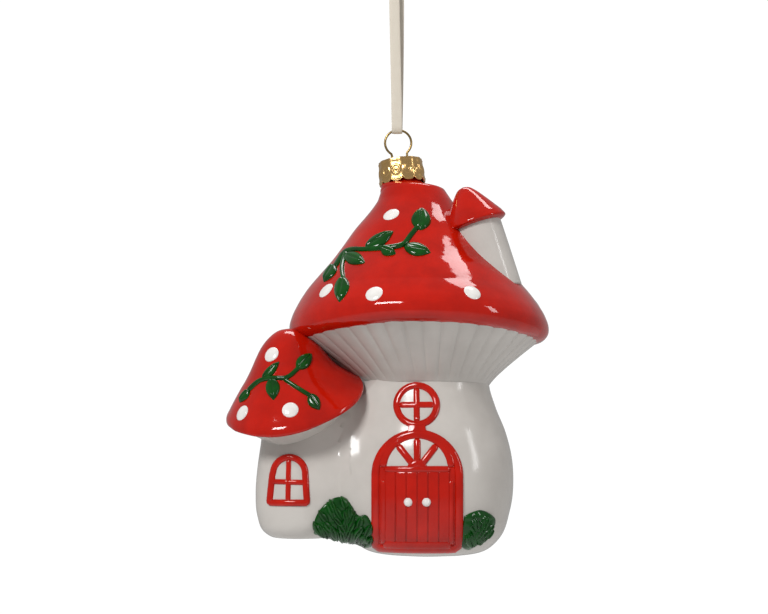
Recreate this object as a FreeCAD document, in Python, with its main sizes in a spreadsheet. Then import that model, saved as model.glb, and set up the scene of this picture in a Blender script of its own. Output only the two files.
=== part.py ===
import FreeCAD, Part
import Sketcher
import math
import os

from FreeCAD import Placement, Rotation, Vector

# Hanging toadstool house ornament: a hollow cast house of two toadstools with glazed
# reliefs, a pressed metal crown with a sprung wire hanger in its neck, and a ribbon.
# Heights are taken from the flat underside of the main stalk, and the whole ornament is
# then lowered by hang_height, so that the origin is the point it hangs from.
# X is to the right, the door looks towards -Y, Z is up.

# Every driving size in millimetres, degrees or counts: name, value, what it is.
SIZES = [
    ("hang_height", 176.0, "underside of the main stalk to the hanging point"),
    ("turn_sides", 44, "flats that stand for the round of the smaller turned members"),
    ("hollow_sides", 20, "flats round the hollows"),
    ("wall", 2.2, "thickness of the cast walls"),
    ("slip", 0.06, "line of slip between two luted members"),
    ("overrun", 3.0, "how far a cutting tool runs past what it cuts"),
    ("stalk_offset", 8.4, "axis of the main stalk, right of the hanging point"),
    ("stalk_base_radius_share", 0.4884, "flat underside, as a share of its widest radius"),
    ("stalk_heel_radius_share", 0.7132, "radius of its heel, as a share of its widest radius"),
    ("stalk_heel_height_share", 0.0323, "height of that ring, as a share of its height"),
    ("stalk_foot_radius_share", 0.8527, "radius of its foot, as a share of its widest radius"),
    ("stalk_foot_height_share", 0.1131, "height of that ring, as a share of its height"),
    ("stalk_calf_radius_share", 0.9574, "radius of its calf, as a share of its widest radius"),
    ("stalk_calf_height_share", 0.2586, "height of that ring, as a share of its height"),
    ("stalk_belly_radius", 25.8, "widest part of the belly"),
    ("stalk_belly_height_share", 0.4162, "height of that ring, as a share of its height"),
    ("stalk_chest_radius_share", 0.9806, "radius of its chest, as a share of its widest radius"),
    ("stalk_chest_height_share", 0.5737, "height of that ring, as a share of its height"),
    ("stalk_shoulder_radius_share", 0.9147, "radius of its shoulder, as a share of its widest radius"),
    ("stalk_shoulder_height_share", 0.7192, "height of that ring, as a share of its height"),
    ("stalk_throat_radius_share", 0.7946, "radius of its throat, as a share of its widest radius"),
    ("stalk_throat_height_share", 0.8768, "height of that ring, as a share of its height"),
    ("stalk_neck_radius_share", 0.7326, "radius of its neck, as a share of its widest radius"),
    ("stalk_neck_height", 49.5, "top of the main stalk"),
    ("gill_count", 40, "ribs around the main gills"),
    ("gill_groove", 1.0, "depth of a groove at the rim"),
    ("gill_flank_share", 0.22, "share of a rib's width that each of its two flanks takes"),
    ("cap_offset", 6.0, "axis of the main cap, right of the hanging point"),
    ("cap_edge_radius_share", 0.9612, "lower edge of the main cap, as a share of the rim's radius"),
    ("cap_edge_height", 63.9, "height of that edge"),
    ("cap_rim_radius", 38.7, "widest part of the main cap"),
    ("cap_rim_height", 67.3, "height of the widest part"),
    ("cap_brow_radius_share", 0.9716, "radius of its brow, as a share of the rim's radius"),
    ("cap_brow_height_share", 0.1074, "height of that ring, as a share of the way from rim to top"),
    ("cap_flank_radius_share", 0.8682, "radius of its flank, as a share of the rim's radius"),
    ("cap_flank_height_share", 0.2601, "height of that ring, as a share of the way from rim to top"),
    ("cap_waist_radius_share", 0.6873, "radius of its waist, as a share of the rim's radius"),
    ("cap_waist_height_share", 0.4463, "height of that ring, as a share of the way from rim to top"),
    ("cap_shoulder_radius_share", 0.5168, "radius of its shoulder, as a share of the rim's radius"),
    ("cap_shoulder_height_share", 0.6516, "height of that ring, as a share of the way from rim to top"),
    ("cap_crest_radius_share", 0.3463, "radius of its crest, as a share of the rim's radius"),
    ("cap_crest_height_share", 0.852, "height of that ring, as a share of the way from rim to top"),
    ("cap_top_radius_share", 0.1912, "radius of its top, as a share of the rim's radius"),
    ("cap_top_height", 109.2, "top of the main cap"),
    ("cap_wall_across", 3.3, "wall of the sloping flank, measured level"),
    ("neck_radius", 5.7, "outside of the casting's neck"),
    ("neck_bore_radius", 4.4, "bore of the neck"),
    ("neck_sink", 2.6, "how deep the neck is set in the cap"),
    ("neck_rise", 6.3, "how far the neck stands up inside the crown"),
    ("skirt_top_radius", 7.4, "shoulder of the neck, under the crown"),
    ("skirt_foot_radius", 8.8, "shoulder of the neck at its foot, inside the cap's top"),
    ("skirt_length", 5.0, "shoulder of the neck, below the crown seat"),
    ("skirt_gap", 0.35, "air between the shoulder of the neck and the crown's edge"),
    ("crown_lean", 6.0, "degrees that neck, crown and hanger lean to the left"),
    ("crown_seat_height", 110.5, "lower edge of the crown at its axis"),
    ("crown_height", 7.2, "height of the crown"),
    ("crown_top_radius", 6.6, "crown at its top plate"),
    ("crown_foot_radius", 7.0, "crown at its flared lower edge"),
    ("crown_sheet", 0.35, "sheet metal of the crown"),
    ("crown_tooth_count", 12, "teeth around the lower edge"),
    ("crown_tooth_depth", 1.0, "depth of the notches between them"),
    ("crown_tooth_width", 1.5, "width of a notch at the lower edge"),
    ("wire_radius", 0.35, "half the thickness of the hanger wire"),
    ("wire_clearance", 0.08, "room round the wire in its two holes"),
    ("loop_radius", 4.0, "loop of the hanger, to the middle of its wire"),
    ("loop_rise", 5.8, "middle of the loop above the crown's top plate"),
    ("loop_fillet", 2.5, "bend from the loop into a leg"),
    ("wire_sides", 8, "flats that stand for the round of the wire"),
    ("leg_gap", 4.5, "distance between the two legs"),
    ("leg_straight", 2.0, "straight length of a leg below the crown's lower edge"),
    ("leg_length", 22.0, "depth of the legs below the crown's lower edge"),
    ("leg_spread", 1.2, "how far each leg springs out towards the bore"),
    ("leg_bend", 9.0, "round of the bend in a leg"),
    ("ribbon_width", 3.2, "width of the ribbon"),
    ("ribbon_thickness", 0.4, "thickness of the ribbon"),
    ("ribbon_bight", 1.0, "inner round where the ribbon passes under the wire"),
    ("knot_height", 5.0, "height of the knot"),
    ("knot_radius", 2.5, "half the width of the knot"),
    ("knot_foot_radius", 1.7, "flat of the knot where the strands enter"),
    ("knot_belly_height", 1.6, "height where the knot is widest, from either end"),
    ("tail_length", 7.0, "length of each cut tail"),
    ("tail_droop", 2.4, "how far a tail stands away from the knot"),
    ("chimney_across_share", 0.4729, "rim centre of the small toadstool, right of the cap's axis, by the rim's radius"),
    ("chimney_front_share", 0.2584, "the same, in front of the cap's axis"),
    ("chimney_rise_share", 0.6683, "the same, as a share of the way from rim to top"),
    ("chimney_lean", 17.0, "degrees that its stem leans to the left"),
    ("chimney_stem_length", 21.0, "its stem, before the main cap trims it"),
    ("chimney_stem_top_radius", 6.7, "its stem under its cap"),
    ("chimney_stem_foot_radius", 8.2, "its stem at the foot"),
    ("chimney_cap_lean", 15.0, "degrees that its cap leans to the left"),
    ("chimney_lip_radius_share", 0.9091, "underside of its rim, as a share of the rim's radius"),
    ("chimney_rim_radius", 8.8, "rim of its cap"),
    ("chimney_rim_height", 1.2, "height of the widest part"),
    ("chimney_brow_radius_share", 0.8523, "radius of its brow, as a share of the rim's radius"),
    ("chimney_brow_height_share", 0.4107, "height of that ring, as a share of the cap's height"),
    ("chimney_crest_radius_share", 0.5, "radius of its crest, as a share of the rim's radius"),
    ("chimney_crest_height_share", 0.7679, "height of that ring, as a share of the cap's height"),
    ("chimney_tip_radius_share", 0.1364, "radius of its tip, as a share of the rim's radius"),
    ("chimney_tip_height", 11.2, "height of its cap"),
    ("side_offset", 28.6, "axis of the side stalk, left of the hanging point"),
    ("side_front", 8.0, "axis of the side stalk, in front of the main one"),
    ("side_base_height", 3.4, "underside of the side stalk over that of the main one"),
    ("side_base_radius_share", 0.5426, "flat underside of the side stalk, as a share of its widest radius"),
    ("side_foot_radius_share", 0.8217, "radius of its foot, as a share of its widest radius"),
    ("side_foot_height_share", 0.0588, "height of that ring, as a share of its height"),
    ("side_calf_radius_share", 0.9612, "radius of its calf, as a share of its widest radius"),
    ("side_calf_height_share", 0.1882, "height of that ring, as a share of its height"),
    ("side_belly_radius", 12.9, "widest part of the side stalk"),
    ("side_belly_height_share", 0.3824, "height of that ring, as a share of its height"),
    ("side_chest_radius_share", 0.9612, "radius of its chest, as a share of its widest radius"),
    ("side_chest_height_share", 0.6176, "height of that ring, as a share of its height"),
    ("side_neck_radius_share", 0.8682, "radius of its neck, as a share of its widest radius"),
    ("side_neck_height", 34.0, "height of the side stalk before its gills trim it"),
    ("side_cap_offset", 31.3, "rim centre of the side cap, left of the hanging point"),
    ("side_cap_front", 10.5, "rim centre of the side cap, in front of the main axis"),
    ("side_cap_height", 43.6, "rim centre of the side cap over the underside"),
    ("side_cap_tip", 16.0, "degrees that the side cap tips to the left"),
    ("side_cap_nod", 28.0, "degrees that the side cap nods to the front"),
    ("side_lip_radius_share", 0.9223, "underside of the side cap's rim, as a share of the rim's radius"),
    ("side_lip_drop", 1.6, "how far that underside lies below the rim"),
    ("side_rim_radius", 19.3, "rim of the side cap"),
    ("side_brow_radius_share", 0.9637, "radius of its brow, as a share of the rim's radius"),
    ("side_brow_height_share", 0.2143, "height of that ring, as a share of the cap's height"),
    ("side_flank_radius_share", 0.8497, "radius of its flank, as a share of the rim's radius"),
    ("side_flank_height_share", 0.4643, "height of that ring, as a share of the cap's height"),
    ("side_shoulder_radius_share", 0.6321, "radius of its shoulder, as a share of the rim's radius"),
    ("side_shoulder_height_share", 0.7232, "height of that ring, as a share of the cap's height"),
    ("side_crest_radius_share", 0.3523, "radius of its crest, as a share of the rim's radius"),
    ("side_crest_height_share", 0.9107, "height of that ring, as a share of the cap's height"),
    ("side_top_radius_share", 0.1244, "radius of its top, as a share of the rim's radius"),
    ("side_top_height", 22.4, "height of the side cap over its rim"),
    ("side_gill_count", 26, "ribs around the side gills"),
    ("side_gill_depth", 5.2, "height of the side gills under the lip"),
    ("side_gill_foot_radius", 12.0, "foot of the side gills"),
    ("side_gill_groove", 0.7, "depth of their grooves"),
    ("round_sides", 14, "flats that stand for a small full round"),
    ("relief", 1.1, "how far frames and bushes stand out of the wall"),
    ("leaf_relief", 0.55, "how far door leaves stand out"),
    ("pane_relief", 0.3, "how far panes stand out"),
    ("door_x", 5.3, "middle of the door, right of the hanging point"),
    ("door_half_width", 12.5, "half the width of the door frame"),
    ("door_foot_height", 1.5, "lower edge of the sill"),
    ("door_spring_height", 22.5, "where the arch of the frame starts"),
    ("door_sill_height", 5.6, "upper edge of the sill"),
    ("door_leaf_width", 8.8, "width of one door leaf"),
    ("door_leaf_top", 24.0, "top of the leaves"),
    ("door_seam", 0.5, "gap between the two leaves"),
    ("fanlight_height", 25.6, "foot of the fanlight"),
    ("fanlight_radius", 7.6, "round of the fanlight"),
    ("bar_width", 1.5, "width of glazing bars"),
    ("knob_radius", 1.25, "door knobs"),
    ("knob_foot_radius", 0.8, "a knob at its foot and its face"),
    ("knob_foot_length", 0.6, "half the length of a knob"),
    ("knob_spacing", 5.0, "distance between the knobs"),
    ("knob_height", 14.7, "height of the knobs"),
    ("round_window_drop", 7.2, "middle of the round window below the gills"),
    ("round_window_radius", 6.4, "outside of the round window"),
    ("round_window_glass", 4.3, "glazed part of the round window"),
    ("round_window_tie", 5.0, "width of the piece that ties it to the door"),
    ("arched_window_x", 30.6, "middle of the arched window, left of the hanging point"),
    ("arched_window_half_width", 5.9, "half its width"),
    ("arched_window_foot", 14.2, "height of its lower edge"),
    ("arched_window_spring", 23.4, "where its arch starts"),
    ("arched_window_frame", 1.7, "width of its frame"),
    ("arched_window_bar", 21.4, "height of its cross bar"),
    ("bush_depth", 1.9, "how far the bushes stand out of the wall"),
    ("bush_foot_height", 1.2, "lower edge of the bushes"),
    ("left_bush_inner", 7.6, "right edge of the left bush, left of the hanging point"),
    ("left_bush_outer", 25.0, "left edge of the left bush, left of the hanging point"),
    ("left_bush_top", 17.0, "top of the left bush"),
    ("right_bush_inner", 18.2, "left edge of the right bush"),
    ("right_bush_outer", 29.6, "right edge of the right bush"),
    ("right_bush_top", 13.2, "top of the right bush"),
    ("vine_relief", 1.0, "how far the vines stand out of the caps"),
    ("vine_width", 1.5, "thickness of a vine stem"),
    ("spot_relief", 0.7, "how far the spots stand out of the caps"),
    ("spot_radius", 2.5, "spots on the main cap"),
    ("side_spot_radius", 2.2, "spots on the side cap"),
]

doc = FreeCAD.newDocument("ToadstoolHouse")
sheet = doc.addObject("Spreadsheet::Sheet", "Size")
for row, (name, value, note) in enumerate(SIZES, start=1):
    sheet.set(f"A{row}", note)
    sheet.set(f"B{row}", str(value))
    sheet.setAlias(f"B{row}", name)
doc.recompute()

UP = Vector(0, 0, 1)
FRONT = Vector(0, -1, 0)
BACK = Vector(0, 1, 0)
FULL_TURN = 360
parts = []


def size(expression):
    """The value of a size, or of a sum of sizes, as the sheet gives it."""
    value = sheet.evalExpression(expression)
    return float(getattr(value, "Value", value))


class Sizes:
    """Reads a named size of the sheet as an attribute."""

    def __getattr__(self, name):
        return float(sheet.get(name))


dim = Sizes()


def finished(thing, label):
    """Name a finished sub-part and hang it under the origin."""
    thing.Label = label
    place = thing.Placement
    thing.Placement = Placement(place.Base - Vector(0, 0, dim.hang_height), place.Rotation)
    parts.append(thing)
    return thing


def feature(label, shape):
    """A sub-part whose shape is worked out here from the sheet."""
    thing = doc.addObject("Part::Feature", label)
    thing.Shape = shape.removeSplitter()
    return finished(thing, label)


# Turned outlines are lists of corners, each (radius, height), from the foot up.
def rings(piece, names, widest, foot, top):
    """Corners whose sizes are shares of a member's widest radius and of its height."""
    corners = []
    for name in names:
        radius, height = f"Size.{piece}_{name}_radius", f"Size.{piece}_{name}_height"
        if name != widest:
            radius = f"Size.{piece}_{widest}_radius * {radius}_share"
        if name != top:
            rise = f"Size.{piece}_{top}_height - {foot}"
            height = f"{foot} + ({rise}) * {height}_share"
        corners.append((radius, height))
    return corners


def less(corner, across, down="0"):
    """A corner moved in towards the axis, and down."""
    return f"{corner[0]} - {across}", f"{corner[1]} - {down}"


STALK_RINGS = rings("stalk", ["heel", "foot", "calf", "belly", "chest", "shoulder",
                              "throat", "neck"], "belly", "0", "neck")
STALK_BASE = "Size.stalk_belly_radius * Size.stalk_base_radius_share"
CAP_RINGS = rings("cap", ["brow", "flank", "waist", "shoulder", "crest", "top"], "rim",
                  "Size.cap_rim_height", "top")
CAP_EDGE = ("Size.cap_rim_radius * Size.cap_edge_radius_share", "Size.cap_edge_height")
SIDE_RINGS = rings("side", ["foot", "calf", "belly", "chest", "neck"], "belly", "0",
                   "neck")
SIDE_BASE = "Size.side_belly_radius * Size.side_base_radius_share"
SIDE_CAP_RINGS = rings("side", ["brow", "flank", "shoulder", "crest", "top"], "rim", "0",
                       "top")
SIDE_LIP = ("Size.side_rim_radius * Size.side_lip_radius_share", "-Size.side_lip_drop")
CHIMNEY_RINGS = rings("chimney", ["brow", "crest", "tip"], "rim", "0", "tip")

STALK_OUTLINE = [("0", "0"), (STALK_BASE, "0")] + STALK_RINGS
STALK_CAVITY = [
    (STALK_BASE, "Size.wall"),
    less(STALK_RINGS[1], "1.2 * Size.wall"),
    less(STALK_RINGS[2], "Size.wall"),
    less(STALK_RINGS[4], "Size.wall"),
    less(STALK_RINGS[6], "Size.wall"),
    less(STALK_RINGS[7], "Size.wall"),
]
CAP_OUTLINE = [CAP_EDGE, ("Size.cap_rim_radius", "Size.cap_rim_height")] + CAP_RINGS + [
    ("0", "Size.cap_top_height")]
CAP_CAVITY = [
    less(CAP_EDGE, "Size.wall"),
    less(CAP_RINGS[0], "Size.cap_wall_across"),
    less(CAP_RINGS[1], "Size.cap_wall_across"),
    less(CAP_RINGS[3], "Size.cap_wall_across"),
    less(CAP_RINGS[5], "Size.cap_wall_across", "Size.wall"),
]
SIDE_OUTLINE = [("0", "0"), (SIDE_BASE, "0")] + SIDE_RINGS
SIDE_CAVITY = [
    (SIDE_BASE, "Size.wall"),
    less(SIDE_RINGS[1], "Size.wall"),
    less(SIDE_RINGS[3], "Size.wall"),
    less(SIDE_RINGS[4], "Size.wall"),
]
SIDE_CAP_OUTLINE = [SIDE_LIP, ("Size.side_rim_radius", "0")] + SIDE_CAP_RINGS
SIDE_CAP_CAVITY = [
    less(SIDE_LIP, "Size.wall"),
    less(SIDE_CAP_RINGS[0], "Size.wall"),
    less(SIDE_CAP_RINGS[2], "Size.wall", "Size.wall"),
    (SIDE_CAP_RINGS[4][0], "Size.side_top_height - Size.wall"),
]
CHIMNEY_CAP_OUTLINE = [
    ("Size.chimney_rim_radius * Size.chimney_lip_radius_share", "0"),
    ("Size.chimney_rim_radius", "Size.chimney_rim_height"),
] + CHIMNEY_RINGS
NECK_OUTLINE = [
    ("Size.neck_radius", "-Size.neck_sink"),
    ("Size.neck_radius", "-Size.skirt_length"),
    ("Size.skirt_foot_radius", "-Size.skirt_length"),
    ("Size.skirt_top_radius", "-Size.skirt_gap"),
    ("Size.neck_radius", "-Size.skirt_gap"),
    ("Size.neck_radius", "Size.neck_rise"),
]
NECK_BORE = [
    ("Size.neck_bore_radius", "-Size.neck_sink"),
    ("Size.neck_bore_radius", "Size.neck_rise"),
]
CROWN_OUTLINE = [
    ("Size.crown_foot_radius", "0"),
    ("Size.crown_top_radius", "Size.crown_height - Size.crown_sheet"),
    ("Size.crown_top_radius - Size.crown_sheet", "Size.crown_height"),
]
CROWN_HOLLOW = [
    ("Size.crown_foot_radius - Size.crown_sheet", "0"),
    ("Size.crown_top_radius - Size.crown_sheet", "Size.crown_height - Size.crown_sheet"),
]
KNOT_OUTLINE = [
    ("0", "0"),
    ("Size.knot_foot_radius", "0"),
    ("Size.knot_radius", "Size.knot_belly_height"),
    ("Size.knot_radius", "Size.knot_height - Size.knot_belly_height"),
    ("Size.knot_foot_radius", "Size.knot_height"),
    ("0", "Size.knot_height"),
]


def point_of(corner):
    return Vector(size(corner[0]), 0, size(corner[1]))


def profile_sketch(body, corners):
    """A closed half profile, each corner bound to the sheet."""
    sketch = body.newObject("Sketcher::SketchObject", "Profile")
    plane = [item for item in body.Origin.OriginFeatures if item.Role == "XZ_Plane"][0]
    sketch.AttachmentSupport = (plane, [""])
    sketch.MapMode = "FlatFace"
    points = [point_of(corner) for corner in corners]
    for start, end in zip(points[-1:] + points, points):
        sketch.addGeometry(Part.LineSegment(Vector(start.x, start.z, 0),
                                            Vector(end.x, end.z, 0)), False)
    for edge, (corner, point) in enumerate(zip(corners, points)):
        following = (edge + 1) % len(corners)
        sketch.addConstraint(Sketcher.Constraint("Coincident", edge, 2, following, 1))
        for way, expression, axis, distance in (("DistanceX", corner[0], -2, point.x),
                                                ("DistanceY", corner[1], -1, point.z)):
            if expression == "0":
                sketch.addConstraint(Sketcher.Constraint("PointOnObject", edge, 2, axis))
                continue
            number = sketch.addConstraint(
                Sketcher.Constraint(way, -1, 1, edge, 2, distance))
            sketch.setExpression(f"Constraints[{number}]", expression)
    return sketch


def turned(name, corners):
    """A body turned about the upright axis from a half profile."""
    body = doc.addObject("PartDesign::Body", name)
    sketch = profile_sketch(body, corners)
    revolution = body.newObject("PartDesign::Revolution", "Turned")
    revolution.Profile = sketch
    revolution.ReferenceAxis = (sketch, ["V_Axis"])
    revolution.Angle = FULL_TURN
    doc.recompute()
    return body


def moved_out(corners, stand_out):
    """The corners of an outline, moved square to it by stand_out."""
    points = [point_of(corner) for corner in corners]
    places = []
    for index, point in enumerate(points):
        below, above = points[max(index - 1, 0)], points[min(index + 1, len(points) - 1)]
        along = (above - below).normalize()
        out = Vector(along.z, 0, -along.x) * stand_out
        places.append(point + out if point.x > 0 else point)
    return places


def face_of(points):
    return Part.Face(Part.makePolygon(points + points[:1]))


def banded(rings):
    """A solid of flat faces between rings of points, closed by the end rings."""
    faces = [face_of(rings[0]), face_of(rings[-1])]
    for low, high in zip(rings, rings[1:]):
        for number in range(len(low)):
            faces.append(face_of([low[number - 1], low[number],
                                  high[number], high[number - 1]]))
    solid = Part.Solid(Part.Shell(faces))
    if solid.Volume < 0:
        solid.reverse()
    return solid


def even_ring(radius, sides, centre):
    """Corners of a ring of flats whose middles touch the radius."""
    reach = radius / math.cos(math.pi / sides)
    return [centre + Vector(math.cos(turn), math.sin(turn), 0) * reach
            for turn in (2 * math.pi * number / sides for number in range(sides))]


def many_sided(corners, stand_out, sides):
    """Solid inside a turned outline, with flats that touch the round, moved out."""
    places = [point for point in moved_out(corners, stand_out) if point.x > 0]
    return banded([even_ring(point.x, int(sides), Vector(0, 0, point.z))
                   for point in places])


def stalk_place():
    return Placement(Vector(dim.stalk_offset, 0, 0), Rotation())


def cap_place():
    return Placement(Vector(dim.cap_offset, 0, 0), Rotation())


def side_place():
    return Placement(Vector(-dim.side_offset, -dim.side_front, dim.side_base_height),
                     Rotation())


def side_cap_place():
    nod = Rotation(Vector(1, 0, 0), dim.side_cap_nod)
    tip = Rotation(Vector(0, 1, 0), -dim.side_cap_tip)
    centre = Vector(-dim.side_cap_offset, -dim.side_cap_front, dim.side_cap_height)
    return Placement(centre, tip.multiply(nod))


def cap_rise():
    return dim.cap_top_height - dim.cap_rim_height


def chimney_place(lean):
    """The middle of the small toadstool's rim, leaning to the left."""
    rim = Vector(dim.cap_offset + dim.cap_rim_radius * dim.chimney_across_share,
                 -dim.cap_rim_radius * dim.chimney_front_share,
                 dim.cap_rim_height + cap_rise() * dim.chimney_rise_share)
    return Placement(rim, Rotation(Vector(0, 1, 0), -lean))


def round_window_height():
    return dim.stalk_neck_height - dim.round_window_drop


def crown_place():
    """The leaning axis of neck, crown and hanger: its loop's top is over the origin."""
    lean = math.radians(dim.crown_lean)
    reach = dim.crown_height + dim.loop_rise + dim.loop_radius
    foot = Vector(reach * math.sin(lean), 0, dim.crown_seat_height)
    return Placement(foot, Rotation(Vector(0, 1, 0), -dim.crown_lean))


def placed(shape, place):
    shape.Placement = place
    return shape


def stalk_skin(stand_out):
    return placed(many_sided(STALK_OUTLINE, stand_out, dim.turn_sides), stalk_place())


def cap_skin(stand_out):
    return placed(many_sided(CAP_OUTLINE, stand_out, dim.turn_sides), cap_place())


def side_skin(stand_out):
    return placed(many_sided(SIDE_OUTLINE, stand_out, dim.turn_sides), side_place())


def side_cap_skin(stand_out):
    return placed(many_sided(SIDE_CAP_OUTLINE, stand_out, dim.turn_sides), side_cap_place())


def trimmed(shape, tools):
    """What is left of a solid, its largest piece, after others are taken from it."""
    for tool in tools:
        shape = shape.cut(tool)
    return max(shape.Solids, key=lambda solid: solid.Volume)


def hollowed(name, outline, tools):
    """A turned member with its hollow, and any holes, cut from it."""
    member = turned(name + "Turned", outline)
    hollow = doc.addObject("Part::Feature", name + "Hollow")
    hollow.Shape = Part.makeCompound(tools)
    cut = doc.addObject("Part::Cut", name)
    cut.Base = member
    cut.Tool = hollow
    doc.recompute()
    return cut


# Main stalk: a turned shell, closed below and open under the gills.
main_stalk = hollowed("MainStalk", STALK_OUTLINE + [("0", "Size.stalk_neck_height")],
                      [many_sided(STALK_CAVITY, 0, dim.hollow_sides)])
main_stalk.Placement = stalk_place()
finished(main_stalk, "main_stalk")


# Gills: ribs with a flat face and two flanks, which fan out from a throat to a rim.
def ribbed_ring(radius, groove, count, centre):
    step = 2 * math.pi / count
    points = []
    for low in (number * step for number in range(count)):
        for turn, reach in ((low, radius - groove),
                            (low + step * dim.gill_flank_share, radius),
                            (low + step * (1 - dim.gill_flank_share), radius)):
            points.append(centre + Vector(math.cos(turn), math.sin(turn), 0) * reach)
    return points


def ribbed_funnel(low, low_radius, high, high_radius, groove, count):
    """A hollow funnel of ribs between two level rings; low and high are their middles."""
    outer = banded([ribbed_ring(low_radius, groove * low_radius / high_radius, count, low),
                    ribbed_ring(high_radius, groove, count, high)])
    sides = int(dim.hollow_sides)
    inner = banded([even_ring(low_radius - dim.wall, sides, low),
                    even_ring(high_radius - dim.wall, sides, high)])
    return outer.cut(inner)


def neck_under_gills():
    return size(STALK_RINGS[-1][0])


def gill_ends():
    return (Vector(dim.stalk_offset, 0, dim.stalk_neck_height),
            Vector(dim.cap_offset, 0, dim.cap_edge_height))


def gill_skin(stand_out):
    """Plain funnel that clears the ribs of the main gills by stand_out."""
    low, high = gill_ends()
    sides = int(dim.turn_sides)
    return banded([even_ring(neck_under_gills() + stand_out, sides, low),
                   even_ring(size(CAP_EDGE[0]) + stand_out, sides, high)])


feature("gill_collar", ribbed_funnel(gill_ends()[0], neck_under_gills(),
                                     gill_ends()[1], size(CAP_EDGE[0]),
                                     dim.gill_groove, int(dim.gill_count)))


# Main cap: a turned dome of even wall, with a leaning hole for the neck.
def neck_hole():
    depth = dim.neck_sink + 2 * dim.overrun
    hole = Part.makeCylinder(dim.neck_radius + dim.slip, depth + dim.overrun,
                             Vector(0, 0, -depth))
    hole.Placement = cap_place().inverse().multiply(crown_place())
    return hole


main_cap = hollowed("MainCap", CAP_OUTLINE + [("0", "Size.cap_edge_height")],
                    [many_sided(CAP_CAVITY, 0, dim.hollow_sides), neck_hole()])
main_cap.Placement = cap_place()
finished(main_cap, "main_cap")

# Neck: a tube set in the top of the cap along the leaning axis, with a shoulder that
# rests on the cap.
def neck_tool():
    """The main cap without its hole, as the neck meets it."""
    place = crown_place().inverse().multiply(cap_place())
    cap = placed(many_sided(CAP_OUTLINE, dim.slip, dim.turn_sides), place)
    return cap.cut(Part.makeCylinder(dim.neck_radius + dim.slip / 2,
                                     2 * dim.hang_height, Vector(0, 0, -dim.hang_height)))


def build_neck():
    sides = dim.turn_sides / 2
    tube = many_sided(NECK_OUTLINE, 0, sides).cut(many_sided(NECK_BORE, 0, sides))
    return placed(tube.cut(neck_tool()), crown_place())


feature("neck", build_neck())

# Crown: a flared cup of thin sheet, folded to a many-sided round, with a toothed lower
# edge and two holes for the wire.
def crown_cutters():
    """Notches right across the toothed edge, and the two holes of the hanger."""
    tools = []
    count, reach = int(dim.crown_tooth_count), 2 * dim.crown_foot_radius
    half = dim.crown_tooth_width / 2
    for number in range(count // 2):
        corners = [Vector(-half, -reach, 0), Vector(half, -reach, 0),
                   Vector(0, -reach, dim.crown_tooth_depth)]
        notch = face_of(corners).extrude(BACK * (2 * reach))
        notch.rotate(Vector(0, 0, 0), UP, (number + 1 / 2) * FULL_TURN / count)
        tools.append(notch)
    for side in (-1, 1):
        tools.append(Part.makeCylinder(
            dim.wire_radius + dim.wire_clearance, 2 * dim.overrun,
            Vector(side * dim.leg_gap / 2, 0, dim.crown_height - dim.overrun)))
    return tools


def build_crown():
    sides = 2 * dim.crown_tooth_count
    cup = many_sided(CROWN_OUTLINE, 0, sides).cut(many_sided(CROWN_HOLLOW, 0, sides))
    return placed(cup.cut(Part.makeCompound(crown_cutters())), crown_place())


feature("crown_cap", build_crown())


def hanger_path():
    """Middle line of the wire: leg, fillet, loop, fillet, leg, in its own XZ plane."""
    half_gap = dim.leg_gap / 2
    centre = Vector(0, 0, dim.crown_height + dim.loop_rise)
    reach = dim.loop_radius + dim.loop_fillet
    drop = math.sqrt(reach ** 2 - (half_gap + dim.loop_fillet) ** 2)
    bend = Vector(half_gap + dim.loop_fillet, 0, centre.z - drop)
    join = centre + (bend - centre) * (dim.loop_radius / reach)
    leg_top = Vector(half_gap, 0, bend.z)
    halfway = ((join - bend).normalize() + Vector(-1, 0, 0)).normalize()
    fillet_middle = bend + halfway * dim.loop_fillet
    turn = math.asin(min(dim.leg_spread / (dim.leg_length - dim.leg_straight), 1))
    knee = Vector(half_gap, 0, -dim.leg_straight)
    pivot = Vector(half_gap + dim.leg_bend, 0, -dim.leg_straight)

    def on_bend(angle):
        return pivot + Vector(-math.cos(angle), 0, -math.sin(angle)) * dim.leg_bend

    spring = on_bend(turn)
    run = (spring.z + dim.leg_length) / math.cos(turn)
    tip = spring + Vector(math.sin(turn), 0, -math.cos(turn)) * run

    def other(point):
        return Vector(-point.x, point.y, point.z)

    edges = [
        Part.LineSegment(tip, spring).toShape(),
        Part.Arc(spring, on_bend(turn / 2), knee).toShape(),
        Part.LineSegment(knee, leg_top).toShape(),
        Part.Arc(leg_top, fillet_middle, join).toShape(),
        Part.Arc(join, centre + Vector(0, 0, dim.loop_radius), other(join)).toShape(),
        Part.Arc(other(join), other(fillet_middle), other(leg_top)).toShape(),
        Part.LineSegment(other(leg_top), other(knee)).toShape(),
        Part.Arc(other(knee), other(on_bend(turn / 2)), other(spring)).toShape(),
        Part.LineSegment(other(spring), other(tip)).toShape(),
    ]
    return Part.Wire(edges), tip, (spring - tip).normalize()


def build_hanger():
    """The wire, swept along its path with an even-sided section."""
    path, start, along = hanger_path()
    across = along.cross(BACK)
    sides = int(dim.wire_sides)
    corners = [start + (BACK * math.cos(turn) + across * math.sin(turn)) * dim.wire_radius
               for turn in (2 * math.pi * number / sides for number in range(sides))]
    section = Part.makePolygon(corners + corners[:1])
    return path.makePipeShell([section], True, False)


hanger = doc.addObject("Part::Feature", "hanger_wire")
hanger.Shape = build_hanger()
hanger.Placement = crown_place()
finished(hanger, "hanger_wire")


def loop_top():
    """Middle of the wire at the top of the loop, over the house's underside."""
    reach = dim.crown_height + dim.loop_rise + dim.loop_radius
    return crown_place().multVec(Vector(0, 0, reach)).z


def knot_foot():
    return dim.hang_height - dim.knot_height


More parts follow.
